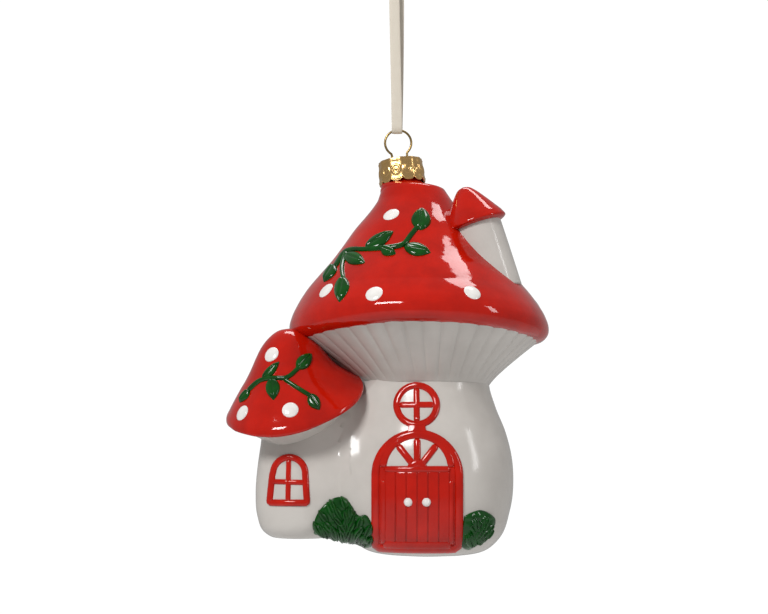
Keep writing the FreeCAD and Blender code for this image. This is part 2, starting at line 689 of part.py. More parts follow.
# Ribbon: one flat strand that runs down in front of the wire, under it and up behind.
def bight_height():
    """Middle of the ribbon's bight, so that the wire's arc all but rests in it."""
    half = dim.ribbon_width / 2
    sag = dim.loop_radius - math.sqrt(dim.loop_radius ** 2 - half ** 2)
    return loop_top() - dim.wire_radius - sag - dim.slip + dim.ribbon_bight


def build_ribbon():
    inner = dim.ribbon_bight
    outer = inner + dim.ribbon_thickness
    low, high = bight_height(), knot_foot()
    half = dim.ribbon_width / 2

    def at(depth, height):
        return Vector(-half, depth, height)

    edges = [
        Part.LineSegment(at(-outer, high), at(-outer, low)).toShape(),
        Part.Arc(at(-outer, low), at(0, low - outer), at(outer, low)).toShape(),
        Part.LineSegment(at(outer, low), at(outer, high)).toShape(),
        Part.LineSegment(at(outer, high), at(inner, high)).toShape(),
        Part.LineSegment(at(inner, high), at(inner, low)).toShape(),
        Part.Arc(at(inner, low), at(0, low - inner), at(-inner, low)).toShape(),
        Part.LineSegment(at(-inner, low), at(-inner, high)).toShape(),
        Part.LineSegment(at(-inner, high), at(-outer, high)).toShape(),
    ]
    return Part.Face(Part.Wire(edges)).extrude(Vector(dim.ribbon_width, 0, 0))


feature("ribbon", build_ribbon())

# Knot that closes the ribbon: a barrel with two cut tails that droop beside it.
knot = turned("Knot", KNOT_OUTLINE)


def build_tails():
    """One flat strip over the knot, whose two cut ends droop to its sides."""
    thick, top, low = dim.ribbon_thickness, dim.knot_height, (
        dim.knot_height - dim.tail_length)
    near, far = dim.knot_radius, dim.knot_radius + dim.tail_droop
    half = [Vector(near, 0, top - thick), Vector(far, 0, low),
            Vector(far + thick, 0, low), Vector(near + thick, 0, top)]
    corners = half + [Vector(-point.x, 0, point.z) for point in reversed(half)]
    strip = face_of(corners).extrude(BACK * dim.ribbon_width)
    strip.translate(FRONT * (dim.ribbon_width / 2))
    return strip


knot_tails = doc.addObject("Part::Feature", "KnotTails")
knot_tails.Shape = build_tails()
tied = doc.addObject("Part::MultiFuse", "Tied")
tied.Shapes = [knot, knot_tails]
doc.recompute()
tied.Placement = Placement(Vector(0, 0, knot_foot()), Rotation())
finished(tied, "ribbon_knot")


# Small toadstool on the shoulder of the main cap, used as a chimney.
def above_plane(place, height, reach):
    """Everything above a height in a leaning piece's own frame."""
    return placed(Part.makeBox(2 * reach, 2 * reach, reach,
                               Vector(-reach, -reach, height)), place)


def build_chimney_stem():
    sides = int(dim.turn_sides / 2)
    foot = Vector(0, 0, -dim.chimney_stem_length)
    stem = placed(banded([even_ring(dim.chimney_stem_foot_radius, sides, foot),
                          even_ring(dim.chimney_stem_top_radius, sides, Vector())]),
                  chimney_place(dim.chimney_lean))
    over = above_plane(chimney_place(dim.chimney_cap_lean), -dim.chimney_rim_height,
                       2 * dim.chimney_rim_radius)
    return trimmed(stem, [over, cap_skin(dim.slip)])


def build_chimney_cap():
    rim = placed(many_sided(CHIMNEY_CAP_OUTLINE, 0, dim.turn_sides / 2), chimney_place(
        dim.chimney_cap_lean).multiply(Placement(Vector(0, 0, -dim.chimney_rim_height),
                                                 Rotation())))
    return trimmed(rim, [cap_skin(dim.slip)])


feature("chimney_stem", build_chimney_stem())
feature("chimney_cap", build_chimney_cap())


# Side toadstool: stalk, gills and a drooping cap, trimmed where the main one stands.
def main_bulk(stand_out):
    """What the side toadstool is trimmed against: stalk, gills and cap, moved out."""
    return [stalk_skin(stand_out), gill_skin(stand_out), cap_skin(stand_out)]


def side_gill_foot():
    return -dim.side_lip_drop - dim.side_gill_depth


def build_side_stalk():
    solid = many_sided(SIDE_OUTLINE, 0, dim.turn_sides)
    hollow = many_sided(SIDE_CAVITY, 0, dim.hollow_sides)
    over = above_plane(side_cap_place(), side_gill_foot(), 2 * dim.side_rim_radius)
    return trimmed(placed(solid.cut(hollow), side_place()), [over] + main_bulk(dim.slip))


def build_side_gills():
    funnel = ribbed_funnel(Vector(0, 0, side_gill_foot()), dim.side_gill_foot_radius,
                           Vector(0, 0, -dim.side_lip_drop), size(SIDE_LIP[0]),
                           dim.side_gill_groove, int(dim.side_gill_count))
    return trimmed(placed(funnel, side_cap_place()), main_bulk(dim.slip))


def build_side_cap():
    dome = many_sided(SIDE_CAP_OUTLINE, 0, dim.turn_sides).cut(
        many_sided(SIDE_CAP_CAVITY, 0, dim.hollow_sides))
    return trimmed(placed(dome, side_cap_place()), main_bulk(dim.slip))


feature("side_stalk", build_side_stalk())
feature("side_gills", build_side_gills())
feature("side_cap", build_side_cap())


# Outlines of the reliefs, drawn in the XZ plane as seen from the front.
def flat(x, z):
    return Vector(x, 0, z)


def round_points(x, z, radius, start, sweep):
    """Corners along a round, at even turns from start through sweep, in degrees."""
    count = max(int(round(dim.round_sides * abs(sweep) / FULL_TURN)), 2)
    return [flat(x, z) + flat(math.cos(turn), math.sin(turn)) * radius
            for turn in (math.radians(start + sweep * number / count)
                         for number in range(count + 1))]


def disc(x, z, radius):
    return face_of(round_points(x, z, radius, 0, FULL_TURN)[:-1])


def half_disc(x, z, radius):
    return face_of(round_points(x, z, radius, 0, FULL_TURN / 2))


def arch(x, half_width, foot, spring):
    """A doorway outline: upright sides and a half round head."""
    head = round_points(x, spring, half_width, 0, FULL_TURN / 2)
    return face_of([flat(x - half_width, foot), flat(x + half_width, foot)] + head)


def bar(start, end, width):
    """A straight bar of a width between two points."""
    along = (end - start).normalize()
    side = Vector(-along.z, 0, along.x) * (width / 2)
    return face_of([start - side, end - side, end + side, start + side])


# How wide a leaf is along its length: (place, share of its width).
LEAF_SHARES = [(0.0, 0.0), (0.2, 0.66), (0.5, 1.0), (0.8, 0.72), (1.0, 0.0)]


def leaf(base, tip, width):
    """A leaf between two points, pointed at both ends."""
    along = tip - base
    side = Vector(-along.z, 0, along.x).normalize() * (width / 2)
    left = [base + along * place + side * share for place, share in LEAF_SHARES]
    right = [base + along * place - side * share for place, share in LEAF_SHARES[1:-1]]
    return face_of(left + list(reversed(right)))


def stroke(points, width):
    """A stem of even width along a line of points."""
    left, right = [], []
    for index, point in enumerate(points):
        before, after = points[max(index - 1, 0)], points[min(index + 1, len(points) - 1)]
        along = (after - before).normalize()
        across = Vector(-along.z, 0, along.x) * (width / 2)
        left.append(point + across)
        right.append(point - across)
    return face_of(left + list(reversed(right)))


def prism(faces):
    """The outlines driven through the front half of the house."""
    solids = [face.extrude(FRONT * 2 * dim.cap_rim_radius) for face in faces]
    return solids[0].fuse(solids[1:]) if len(solids) > 1 else solids[0]


def relief(faces, skin, stand_out):
    """The outlines raised on a wall by stand_out."""
    return prism(faces).common(skin(stand_out)).cut(skin(dim.slip))


def faces_less(faces, holes):
    """Outlines with other outlines taken out of them."""
    left = faces[0].fuse(faces[1:]) if len(faces) > 1 else faces[0]
    for hole in holes:
        left = left.cut(hole)
    return left.removeSplitter().Faces


# The three bars of the fanlight, in degrees from level.
FAN_ANGLES = (48, 90, 132)


def fanlight_bars():
    foot = flat(dim.door_x, dim.fanlight_height)
    bars = []
    for angle in FAN_ANGLES:
        turn = math.radians(angle)
        end = foot + flat(math.cos(turn), math.sin(turn)) * (2 * dim.fanlight_radius)
        bars.append(bar(foot, end, dim.bar_width))
    return bars + [half_disc(dim.door_x, dim.fanlight_height, dim.bar_width)]


def fanlight_faces():
    fan = half_disc(dim.door_x, dim.fanlight_height, dim.fanlight_radius)
    return faces_less([fan], fanlight_bars())


def door_outline():
    return arch(dim.door_x, dim.door_half_width, dim.door_foot_height,
                dim.door_spring_height)


def door_leaf_faces():
    """Two door leaves with a seam between them."""
    faces = []
    for side in (-1, 1):
        centre = dim.door_x + side * (dim.door_seam + dim.door_leaf_width) / 2
        faces.append(bar(flat(centre, dim.door_sill_height),
                         flat(centre, dim.door_leaf_top), dim.door_leaf_width))
    return faces


def door_frame_faces():
    leaves = bar(flat(dim.door_x, dim.door_sill_height),
                 flat(dim.door_x, dim.door_leaf_top),
                 2 * dim.door_leaf_width + dim.door_seam)
    return faces_less([door_outline()], fanlight_faces() + [leaves])


def window_pane_faces():
    x, z, reach = dim.door_x, round_window_height(), dim.round_window_glass
    bars = [bar(flat(x - reach, z), flat(x + reach, z), dim.bar_width),
            bar(flat(x, z - reach), flat(x, z + reach), dim.bar_width)]
    return faces_less([disc(x, z, reach)], bars)


def window_ring_faces():
    tie = bar(flat(dim.door_x, dim.door_spring_height + dim.door_half_width / 2),
              flat(dim.door_x, round_window_height() - dim.round_window_glass),
              dim.round_window_tie)
    outline = disc(dim.door_x, round_window_height(), dim.round_window_radius)
    return faces_less([outline, tie], window_pane_faces() + [door_outline()])


def arched_pane_faces():
    x, frame, reach = -dim.arched_window_x, dim.arched_window_frame, (
        dim.arched_window_half_width)
    glass = arch(x, reach - frame, dim.arched_window_foot + frame, dim.arched_window_spring)
    top = dim.arched_window_spring + reach
    bars = [bar(flat(x, dim.arched_window_foot), flat(x, top), dim.bar_width),
            bar(flat(x - reach, dim.arched_window_bar),
                flat(x + reach, dim.arched_window_bar), dim.bar_width)]
    return faces_less([glass], bars)


def arched_window_faces():
    outline = arch(-dim.arched_window_x, dim.arched_window_half_width,
                   dim.arched_window_foot, dim.arched_window_spring)
    return faces_less([outline], arched_pane_faces())


feature("door_frame", relief(door_frame_faces(), stalk_skin, dim.relief))
feature("door_leaves", relief(door_leaf_faces(), stalk_skin, dim.leaf_relief))
feature("fanlight_panes", relief(fanlight_faces(), stalk_skin, dim.pane_relief))
feature("round_window", relief(window_ring_faces(), stalk_skin, dim.relief))
feature("round_window_panes", relief(window_pane_faces(), stalk_skin, dim.pane_relief))
feature("arched_window", relief(arched_window_faces(), side_skin, dim.relief))
feature("arched_window_panes", relief(arched_pane_faces(), side_skin, dim.pane_relief))


def outline_at(corners, height):
    """Radius of a turned outline at a height, and the direction square to it there."""
    points = [point_of(corner) for corner in corners]
    for low, high in zip(points, points[1:]):
        if low.z <= height <= high.z and high.z > low.z:
            along = (high - low).normalize()
            share = (height - low.z) / (high.z - low.z)
            return low.x + (high.x - low.x) * share, Vector(along.z, 0, -along.x)
    raise ValueError(f"the outline does not reach {height}")


def build_knobs():
    """Two turned beads that sit on the door leaves."""
    knobs = []
    radius, _ = outline_at(STALK_OUTLINE, dim.knob_height)
    for side in (-1, 1):
        x = dim.door_x + side * dim.knob_spacing / 2
        across = x - dim.stalk_offset
        y = -math.sqrt(max((radius + dim.leaf_relief) ** 2 - across ** 2, 0))
        seat = Vector(x, y, dim.knob_height)
        rings = [even_ring(radius, int(dim.round_sides), UP * rise) for radius, rise in (
            (dim.knob_foot_radius, -dim.leaf_relief), (dim.knob_foot_radius, 0),
            (dim.knob_radius, dim.knob_foot_length),
            (dim.knob_foot_radius, 2 * dim.knob_foot_length))]
        knobs.append(placed(banded(rings), Placement(seat, Rotation(UP, FRONT))))
    return Part.makeCompound(knobs).cut(stalk_skin(dim.leaf_relief + dim.slip))


feature("door_knobs", build_knobs())


# Bushes: outlines of overlapping rounds, raised on the foot of the walls.
# Each round is (place across, height, radius) as shares of the bush's width and height.
LEFT_BUSH_SHARES = [(0.14, 0.30, 0.17), (0.20, 0.60, 0.16), (0.42, 0.82, 0.17),
                    (0.64, 0.62, 0.16), (0.86, 0.46, 0.14), (0.50, 0.36, 0.34)]
RIGHT_BUSH_SHARES = [(0.16, 0.74, 0.22), (0.45, 0.80, 0.20), (0.74, 0.66, 0.22),
                     (0.66, 0.34, 0.20), (0.34, 0.36, 0.34)]


def build_bush(left, right, top, shares):
    width, height, foot = right - left, top - dim.bush_foot_height, dim.bush_foot_height
    rounds = [disc(left + width * across, foot + height * up, width * radius)
              for across, up, radius in shares]
    middle = (left + right) / 2
    rounds.append(bar(flat(middle, foot), flat(middle, foot + height / 2), width * 0.8))
    bush = prism(rounds)
    under = Part.makeBox(2 * width, 4 * dim.cap_rim_radius, 2 * foot,
                         Vector(left - width / 2, -2 * dim.cap_rim_radius, -foot))
    raised = stalk_skin(dim.bush_depth).fuse(side_skin(dim.bush_depth))
    door = door_outline().extrude(FRONT * 2 * dim.cap_rim_radius)
    return trimmed(bush.common(raised),
                   [stalk_skin(dim.slip), side_skin(dim.slip), door, under])


feature("bush_left", build_bush(-dim.left_bush_outer, -dim.left_bush_inner,
                                dim.left_bush_top, LEFT_BUSH_SHARES))
feature("bush_right", build_bush(dim.right_bush_inner, dim.right_bush_outer,
                                 dim.right_bush_top, RIGHT_BUSH_SHARES))


# Vines. Places are (across, up) as shares of the cap's rim radius and of its height,
# from the middle of its rim, as seen from the front.
MAIN_VINE_SHARES = [(-0.623, 0.365), (-0.537, 0.487), (-0.395, 0.473),
                    (-0.234, 0.470), (-0.111, 0.494), (-0.060, 0.561), (0.022, 0.668)]
MAIN_BRANCH_SHARES = [(-0.537, 0.487), (-0.560, 0.36), (-0.550, 0.241)]
# Each leaf is (base across, base up, tip across, tip up, width as a share of its length).
MAIN_LEAF_SHARES = [(-0.395, 0.473, -0.197, 0.587, 0.42),
                    (-0.111, 0.478, 0.074, 0.427, 0.42),
                    (-0.537, 0.450, -0.406, 0.363, 0.55),
                    (-0.550, 0.265, -0.574, 0.086, 0.5),
                    (0.015, 0.64, 0.030, 0.78, 0.8),
                    (-0.615, 0.39, -0.70, 0.26, 0.5)]
SIDE_VINE_SHARES = [(-0.66, 0.26), (-0.52, 0.42), (-0.30, 0.46), (0.02, 0.44)]
SIDE_BRANCH_SHARES = [(-0.12, 0.45), (0.10, 0.34), (0.30, 0.22)]
SIDE_LEAF_SHARES = [(0.00, 0.44, 0.26, 0.66, 0.4), (-0.36, 0.46, -0.26, 0.62, 0.5),
                    (-0.38, 0.44, -0.26, 0.30, 0.5), (0.28, 0.24, 0.50, 0.16, 0.5),
                    (-0.64, 0.30, -0.84, 0.30, 0.4)]


def vine_solid(stems, leaves, centre, across, up):
    """Stems and leaves, driven through the front of a cap."""
    def at(x, z):
        return flat(centre.x + across * x, centre.z + up * z)

    faces = [stroke([at(*share) for share in stem], dim.vine_width) for stem in stems]
    for base_x, base_z, tip_x, tip_z, share in leaves:
        base, tip = at(base_x, base_z), at(tip_x, tip_z)
        faces.append(leaf(base, tip, (tip - base).Length * share))
    return prism(faces)


def build_main_vine():
    centre = Vector(dim.cap_offset, 0, dim.cap_rim_height)
    vine = vine_solid([MAIN_VINE_SHARES, MAIN_BRANCH_SHARES], MAIN_LEAF_SHARES, centre,
                      dim.cap_rim_radius, cap_rise())
    return trimmed(vine.common(cap_skin(dim.vine_relief)), [cap_skin(dim.slip)])


def build_side_vine():
    centre = Vector(-dim.side_cap_offset, 0, dim.side_cap_height)
    vine = vine_solid([SIDE_VINE_SHARES, SIDE_BRANCH_SHARES], SIDE_LEAF_SHARES, centre,
                      dim.side_rim_radius, dim.side_top_height)
    return trimmed(vine.common(side_cap_skin(dim.vine_relief)),
                   [side_cap_skin(dim.slip)] + main_bulk(dim.slip))


feature("main_vine", build_main_vine())
feature("side_vine", build_side_vine())

# Spots. Each is (degrees round from the front, height as a share of the cap's height).
MAIN_SPOT_SHARES = [(-28, 0.74), (-49, 0.18), (-20, 0.12), (23, 0.13), (68, 0.15),
                    (106, 0.55), (112, 0.16), (160, 0.46), (-158, 0.14), (-116, 0.50),
                    (-100, 0.14)]
SIDE_SPOT_SHARES = [(-60, 0.30), (-30, 0.62), (30, 0.22), (-128, 0.40)]


def spot_pin(outline, place, angle, height, radius):
    """A short many-sided pin, square to a turned surface."""
    reach, out = outline_at(outline, height)
    turn = Rotation(UP, angle - FULL_TURN / 4)
    normal = place.Rotation.multVec(turn.multVec(out))
    middle = place.multVec(turn.multVec(Vector(reach, 0, height)))
    face = disc(0, 0, radius)
    face.Placement = Placement(middle - normal * dim.overrun, Rotation(FRONT, normal))
    return face.extrude(normal * 2 * dim.overrun)


def build_spots(outline, skin, place, shares, top, radius):
    raised, core = skin(dim.spot_relief), skin(dim.slip)
    spots = []
    for angle, share in shares:
        pin = spot_pin(outline, place, angle, top * share, radius)
        spots.extend(pin.common(raised).cut(core).Solids)
    return Part.makeCompound(spots)


def raised_shares(shares, low, high):
    """Shares of a cap's own height as shares of the height of its top."""
    return [(angle, (low + (high - low) * share) / high) for angle, share in shares]


feature("main_spots", build_spots(
    CAP_OUTLINE, cap_skin, cap_place(),
    raised_shares(MAIN_SPOT_SHARES, dim.cap_rim_height, dim.cap_top_height),
    dim.cap_top_height, dim.spot_radius))
feature("side_spots", build_spots(
    SIDE_CAP_OUTLINE, side_cap_skin, side_cap_place(), SIDE_SPOT_SHARES,
    dim.side_top_height, dim.side_spot_radius))

doc.recompute()
for thing in doc.Objects:
    if "Invalid" in thing.State or "Error" in thing.State:
        raise RuntimeError(f"{thing.Name} did not build: {thing.State}")
for thing in parts:
    if thing.Shape.isNull() or not thing.Shape.isValid() or not thing.Shape.Solids:
        raise RuntimeError(f"{thing.Label} has no valid solid")

os.makedirs("parts", exist_ok=True)
for thing in parts:
    thing.Shape.exportStep(f"parts/{thing.Label}.step")
    box = thing.Shape.BoundBox
    print(f"{thing.Label}: {len(thing.Shape.Solids)} solid(s), "
          f"{thing.Shape.Volume:.1f} mm3, z {box.ZMin:.1f} to {box.ZMax:.1f}")
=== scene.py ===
"""Looks of the toadstool house ornament, laid out as a Blender add-on."""

import math

import bmesh
import bpy
import numpy as np
from mathutils import Matrix, Vector


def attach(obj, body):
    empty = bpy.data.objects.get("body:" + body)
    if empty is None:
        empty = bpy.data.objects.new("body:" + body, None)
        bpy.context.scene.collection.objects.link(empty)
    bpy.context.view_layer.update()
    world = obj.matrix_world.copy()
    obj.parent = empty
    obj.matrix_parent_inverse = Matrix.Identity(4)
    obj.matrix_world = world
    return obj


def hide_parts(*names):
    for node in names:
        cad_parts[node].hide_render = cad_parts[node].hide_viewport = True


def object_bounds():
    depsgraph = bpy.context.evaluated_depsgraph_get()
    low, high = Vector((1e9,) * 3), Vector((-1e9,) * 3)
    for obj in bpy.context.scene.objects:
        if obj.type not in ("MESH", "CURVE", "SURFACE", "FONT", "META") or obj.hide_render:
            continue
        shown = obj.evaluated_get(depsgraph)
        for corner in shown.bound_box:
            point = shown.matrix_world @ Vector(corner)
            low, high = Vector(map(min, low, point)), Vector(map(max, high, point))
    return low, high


bl_info = {
    "name": "Toadstool house ornament",
    "version": (1, 0, 0),
    "blender": (4, 5, 0),
    "location": "3D View > Sidebar > Ornament",
    "description": "Dresses the packed ornament: glazed casting, gilt crown and ribbon",
    "category": "Object",
}

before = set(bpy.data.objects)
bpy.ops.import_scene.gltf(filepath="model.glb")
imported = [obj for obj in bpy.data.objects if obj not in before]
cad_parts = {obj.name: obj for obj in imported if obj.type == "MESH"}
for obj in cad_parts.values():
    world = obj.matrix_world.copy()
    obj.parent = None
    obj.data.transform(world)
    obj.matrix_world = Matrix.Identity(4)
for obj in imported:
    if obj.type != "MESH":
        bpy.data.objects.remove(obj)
CAD_BOX = [list(corner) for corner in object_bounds()]

# The design is drawn in millimetres over the underside of the house; the frame's origin
# is the hanging point above it.
MM = 0.001
HANG_HEIGHT = -CAD_BOX[0][2] / MM

# Reliefs find their wall by level rays: where those start, how far they search, and how
# deep the edges of a relief are sunk in the wall.
INWARD = np.array([0.0, 1.0, 0.0])
RAY_START, RAY_REACH = -60.0, 90.0
SINK, LEAF_SINK = 0.5, 0.4


def mm(value):
    """A length in millimetres as Blender's metres."""
    return value * MM


def linear(code):
    """An sRGB colour such as B41504 as linear red, green, blue and alpha."""
    channels = [int(code[i:i + 2], 16) / 255 for i in (0, 2, 4)]
    return [c / 12.92 if c <= 0.04045 else ((c + 0.055) / 1.055) ** 2.4
            for c in channels] + [1.0]


def unit(vectors):
    """Vectors brought to a length of one."""
    return vectors / np.maximum(np.linalg.norm(vectors, axis=-1, keepdims=True), 1e-9)


def run_along(path):
    """Length run along a path at each of its points."""
    return np.concatenate([[0], np.cumsum(np.linalg.norm(np.diff(path, axis=0), axis=1))])


def smooth_line(points, count):
    """Curve through points, as count even places along it.

    Each stretch is a Hermite cubic whose end slopes are the mean slopes of the two
    neighbouring stretches, weighed by their chord lengths.
    """
    points = np.asarray(points, float)
    knots = run_along(points)
    chord = np.diff(knots)
    step = np.diff(points, axis=0) / chord[:, None]
    slope = np.vstack([step[:1], (step[:-1] * chord[1:, None] + step[1:] * chord[:-1, None])
                       / (chord[1:] + chord[:-1])[:, None], step[-1:]])
    place = np.linspace(0, knots[-1], count)
    index = np.clip(np.searchsorted(knots, place, side="right") - 1, 0, len(chord) - 1)
    span = chord[index][:, None]
    t = ((place - knots[index])[:, None]) / span
    a, b, sa, sb = points[index], points[index + 1], slope[index], slope[index + 1]
    return ((2 * t**3 - 3 * t**2 + 1) * a + (t**3 - 2 * t**2 + t) * span * sa
            + (3 * t**2 - 2 * t**3) * b + (t**3 - t**2) * span * sb)


def arc(x, z, radius, start, end, count):
    """Points of a round about (x, z) from one angle to another, in degrees."""
    turn = np.radians(np.linspace(start, end, count))
    return np.stack([x + radius * np.cos(turn), z + radius * np.sin(turn)], axis=1)


def level(middle, half, z, count=24):
    """Points of a level line at height z, half on each side of its middle."""
    return np.linspace((middle - half, z), (middle + half, z), count)


def straight(start, end):
    """Points of a straight line, as many as a level one has."""
    return np.linspace(start, end, 24)


def bumpy(places, size, seed=0.0):
    """Soft unevenness from -1 to 1: the mean of sines that run three ways, by size."""
    ways = np.array([[1.0, 0.35, 0.6], [-0.5, 1.0, 0.3], [0.25, -0.6, 1.0]])
    waves = np.sin(places @ ways.T * (2 * np.pi / size) + seed + np.array([0.3, 1.9, 4.1]))
    finer = np.sin(places @ ways[::-1].T * (3.7 * np.pi / size)
                   + 2 * seed + np.array([2.2, 0.7, 5.0]))
    return waves.mean(axis=-1) * 0.7 + finer.mean(axis=-1) * 0.3


def rings(radius, height, turn, depth=None):
    """Grid of rings (r cos a, d sin a, height), whose depth d is r where none is given."""
    depth = radius if depth is None else depth
    return np.stack(np.broadcast_arrays(radius * np.cos(turn), depth * np.sin(turn),
                                        height), axis=-1)


def whole_turn(count):
    """Angles of a full turn in count even steps."""
    return np.linspace(0, 2 * np.pi, count, endpoint=False)


def turned(profile, count):
    """Grid of a turned surface: each (radius, height) is carried round as a ring."""
    return rings(profile[:, :1], profile[:, 1:2], whole_turn(count))


def with_lids(grid):
    """A tube's grid closed by the middles of its two end rings."""
    ends = [np.broadcast_to(row.mean(axis=0), row.shape)[None] for row in grid[[0, -1]]]
    return np.concatenate([ends[0], grid, ends[1]])


def linked(name, data):
    """A new object of some data, in the scene."""
    made = bpy.data.objects.new(name, data)
    bpy.context.scene.collection.objects.link(made)
    return made


def mesh_from_grid(name, points, around=True, along=False, uv=None):
    """An object whose mesh joins a grid of points (rows, columns, 3) given in mm.

    Columns are closed to a ring when around is true, rows when along is true. Doubled
    points, such as those of a pole, are merged, and faces are turned outwards.
    """
    rows, columns = points.shape[:2]
    number = np.arange(rows * columns).reshape(rows, columns)
    if around:
        number = np.concatenate([number, number[:, :1]], axis=1)
    if along:
        number = np.concatenate([number, number[:1]], axis=0)
    quads = np.stack([number[:-1, :-1], number[:-1, 1:], number[1:, 1:], number[1:, :-1]],
                     axis=-1).reshape(-1, 4)
    places = points.reshape(-1, 3) * MM - np.array([0, 0, HANG_HEIGHT * MM])
    mesh = bpy.data.meshes.new(name)
    mesh.from_pydata(places.tolist(), [], quads.tolist())
    if uv is not None:
        layer = mesh.uv_layers.new(name="Weave")
        layer.data.foreach_set("uv", uv.reshape(-1, 2)[quads].ravel())
    work = bmesh.new()
    work.from_mesh(mesh)
    bmesh.ops.remove_doubles(work, verts=work.verts, dist=mm(0.0005))
    bmesh.ops.recalc_face_normals(work, faces=work.faces)
    work.to_mesh(mesh)
    work.free()
    mesh.shade_smooth()
    return linked(name, mesh)


def joined(name, pieces):
    """One object from several, so that a node stays one piece."""
    for piece in bpy.context.selected_objects:
        piece.select_set(False)
    for piece in pieces:
        piece.select_set(True)
    bpy.context.view_layer.objects.active = pieces[0]
    bpy.ops.object.join()
    pieces[0].name = name
    return pieces[0]


# Fields of the casting. Each is negative inside a member and near to a distance outside.


def lathe_field(profile, place):
    """Field of a turned member: distance from the axis less the profile's radius."""
    order = np.argsort(profile[:, 1])
    heights, radii = profile[order, 1], profile[order, 0]

    def field(points):
        local = (points - place[:3, 3]) @ place[:3, :3]
        spread = np.hypot(local[..., 0], local[..., 1])
        radius = np.interp(local[..., 2], heights, radii)
        beyond = np.maximum(heights[0] - local[..., 2], local[..., 2] - heights[-1])
        return np.maximum(spread - radius, beyond)
    return field


def melted(first, second, reach):
    """Two fields joined with a fillet: the smaller one less h squared over 4 reach,
    where h is how far reach passes the difference of the two."""
    def field(points):
        a, b = first(points), second(points)
        overlap = np.maximum(reach - np.abs(a - b), 0)
        return np.minimum(a, b) - overlap**2 / (4 * reach)
    return field


def settled(points, inward, field, reach, missed=None):
    """Points moved along inward to where the field first turns negative.

    The way is searched in steps and then halved, all points at once. Where there is no
    such place, a point moves by missed, or else to where the field is least.
    """
    steps = np.linspace(0, reach, 121)
    values = np.stack([field(points + inward * step) for step in steps], axis=-1)
    first = np.argmax(values < 0, axis=-1)
    high = steps[first]
    low = steps[np.maximum(first - 1, 0)]
    for _ in range(14):
        middle = (low + high) / 2
        inside = field(points + inward * middle[..., None]) < 0
        high = np.where(inside, middle, high)
        low = np.where(inside, low, middle)
    least = steps[np.argmin(values, axis=-1)] if missed is None else missed
    way = np.where((values < 0).any(axis=-1), high, least)
    return points + inward * way[..., None]


def normals(points, field, step=0.05):
    """Directions square to a field, from differences along the three axes."""
    return unit(np.stack([field(points + axis) - field(points - axis)
                          for axis in np.eye(3) * step], axis=-1))


def on_wall(flat, field):
    """Points of a wall behind (x, z) places seen from the front, and the ways out of it."""
    start = np.stack([flat[..., 0], np.full(flat.shape[:-1], RAY_START), flat[..., 1]],
                     axis=-1)
    seat = settled(start, INWARD, field, RAY_REACH)
    return seat, normals(seat, field)


def place_matrix(middle, *turns):
    """A place from its middle and turns of (degrees, axis), the first one outermost."""
    matrix = Matrix.Translation(middle)
    for degrees, axis in turns:
        matrix = matrix @ Matrix.Rotation(math.radians(degrees), 4, axis)
    return np.array(matrix)


def moved(points, place):
    """Points carried from a member's own upright place to the house's."""
    return points @ place[:3, :3].T + place[:3, 3]


# Turned outlines as (radius, height).
STALK_PROFILE = smooth_line([
    (0, 0), (8, 0), (12.6, 0.1), (18.2, 1.7), (22.0, 5.4), (24.6, 12.6), (25.8, 20.6),
    (25.4, 28.4), (23.6, 35.6), (20.7, 43.2), (19.0, 49.0), (18.8, 53.5)], 110)
CAP_PROFILE = smooth_line([
    (29.0, 62.6), (33.5, 62.7), (36.9, 63.4), (38.4, 65.2), (38.6, 67.4), (37.9, 69.8),
    (36.0, 73.2), (32.8, 77.6), (29.5, 81.6), (25.6, 86.1), (21.8, 91.0), (18.3, 96.0),
    (15.1, 99.9), (12.6, 103.2), (11.2, 105.4), (10.3, 107.2), (9.4, 108.8), (8.0, 109.6),
    (6.4, 110.1), (5.9, 108.6), (5.9, 104.0)], 190)
SIDE_PROFILE = smooth_line([
    (0, 0), (5, 0), (8.2, 0.4), (10.9, 2.4), (12.4, 6.6), (12.9, 13.0), (12.5, 20.0),
    (11.5, 28.0), (11.2, 33.5)], 90)
SIDE_CAP_PROFILE = smooth_line([
    (12.0, -0.8), (15.0, -1.4), (17.6, -1.6), (19.0, -0.9), (19.1, 0.1), (18.2, 1.6),
    (16.7, 3.8), (14.9, 6.2), (13.1, 8.6), (11.5, 11.2), (10.0, 14.0), (8.4, 16.8),
    (6.2, 19.3), (3.2, 21.3), (0, 22.0)], 120)
CHIMNEY_CAP_PROFILE = smooth_line([
    (0, 0.2), (5.0, 0.1), (8.4, -0.2), (9.3, 0.4), (8.9, 1.6), (7.3, 4.2), (5.3, 7.2),
    (3.4, 9.8), (1.8, 11.4), (0, 12.0)], 80)
CHIMNEY_STEM_PROFILE = smooth_line([
    (8.2, -20), (8.0, -14), (7.7, -6), (7.5, -1.5), (7.4, 0.4)], 60)
NECK_PROFILE = np.concatenate([smooth_line([
    (4.4, 6.2), (5.7, 6.3), (5.7, 0.6), (6.3, -0.3), (6.8, -0.8), (7.0, -2.6),
    (7.3, -5.0)], 60), [(4.4, -5.0), (4.4, 6.0)]])

# Where the members stand, and how the crown and the two small caps lean.
STALK_PLACE = place_matrix((8.4, 0, 0))
SIDE_PLACE = place_matrix((-28.0, -8.0, 5.0))
CROWN_LEAN, CROWN_REACH, CROWN_HEIGHT = 6.0, 17.0, 110.5
CROWN_PLACE = place_matrix((CROWN_REACH * math.sin(math.radians(CROWN_LEAN)), 0,
                            CROWN_HEIGHT), (-CROWN_LEAN, "Y"))
CHIMNEY_PLACE = place_matrix((23.2, -11.0, 95.6), (-15, "Y"))
CHIMNEY_CAP_PLACE = place_matrix((23.1, -11.0, 95.8), (-18, "Y"))

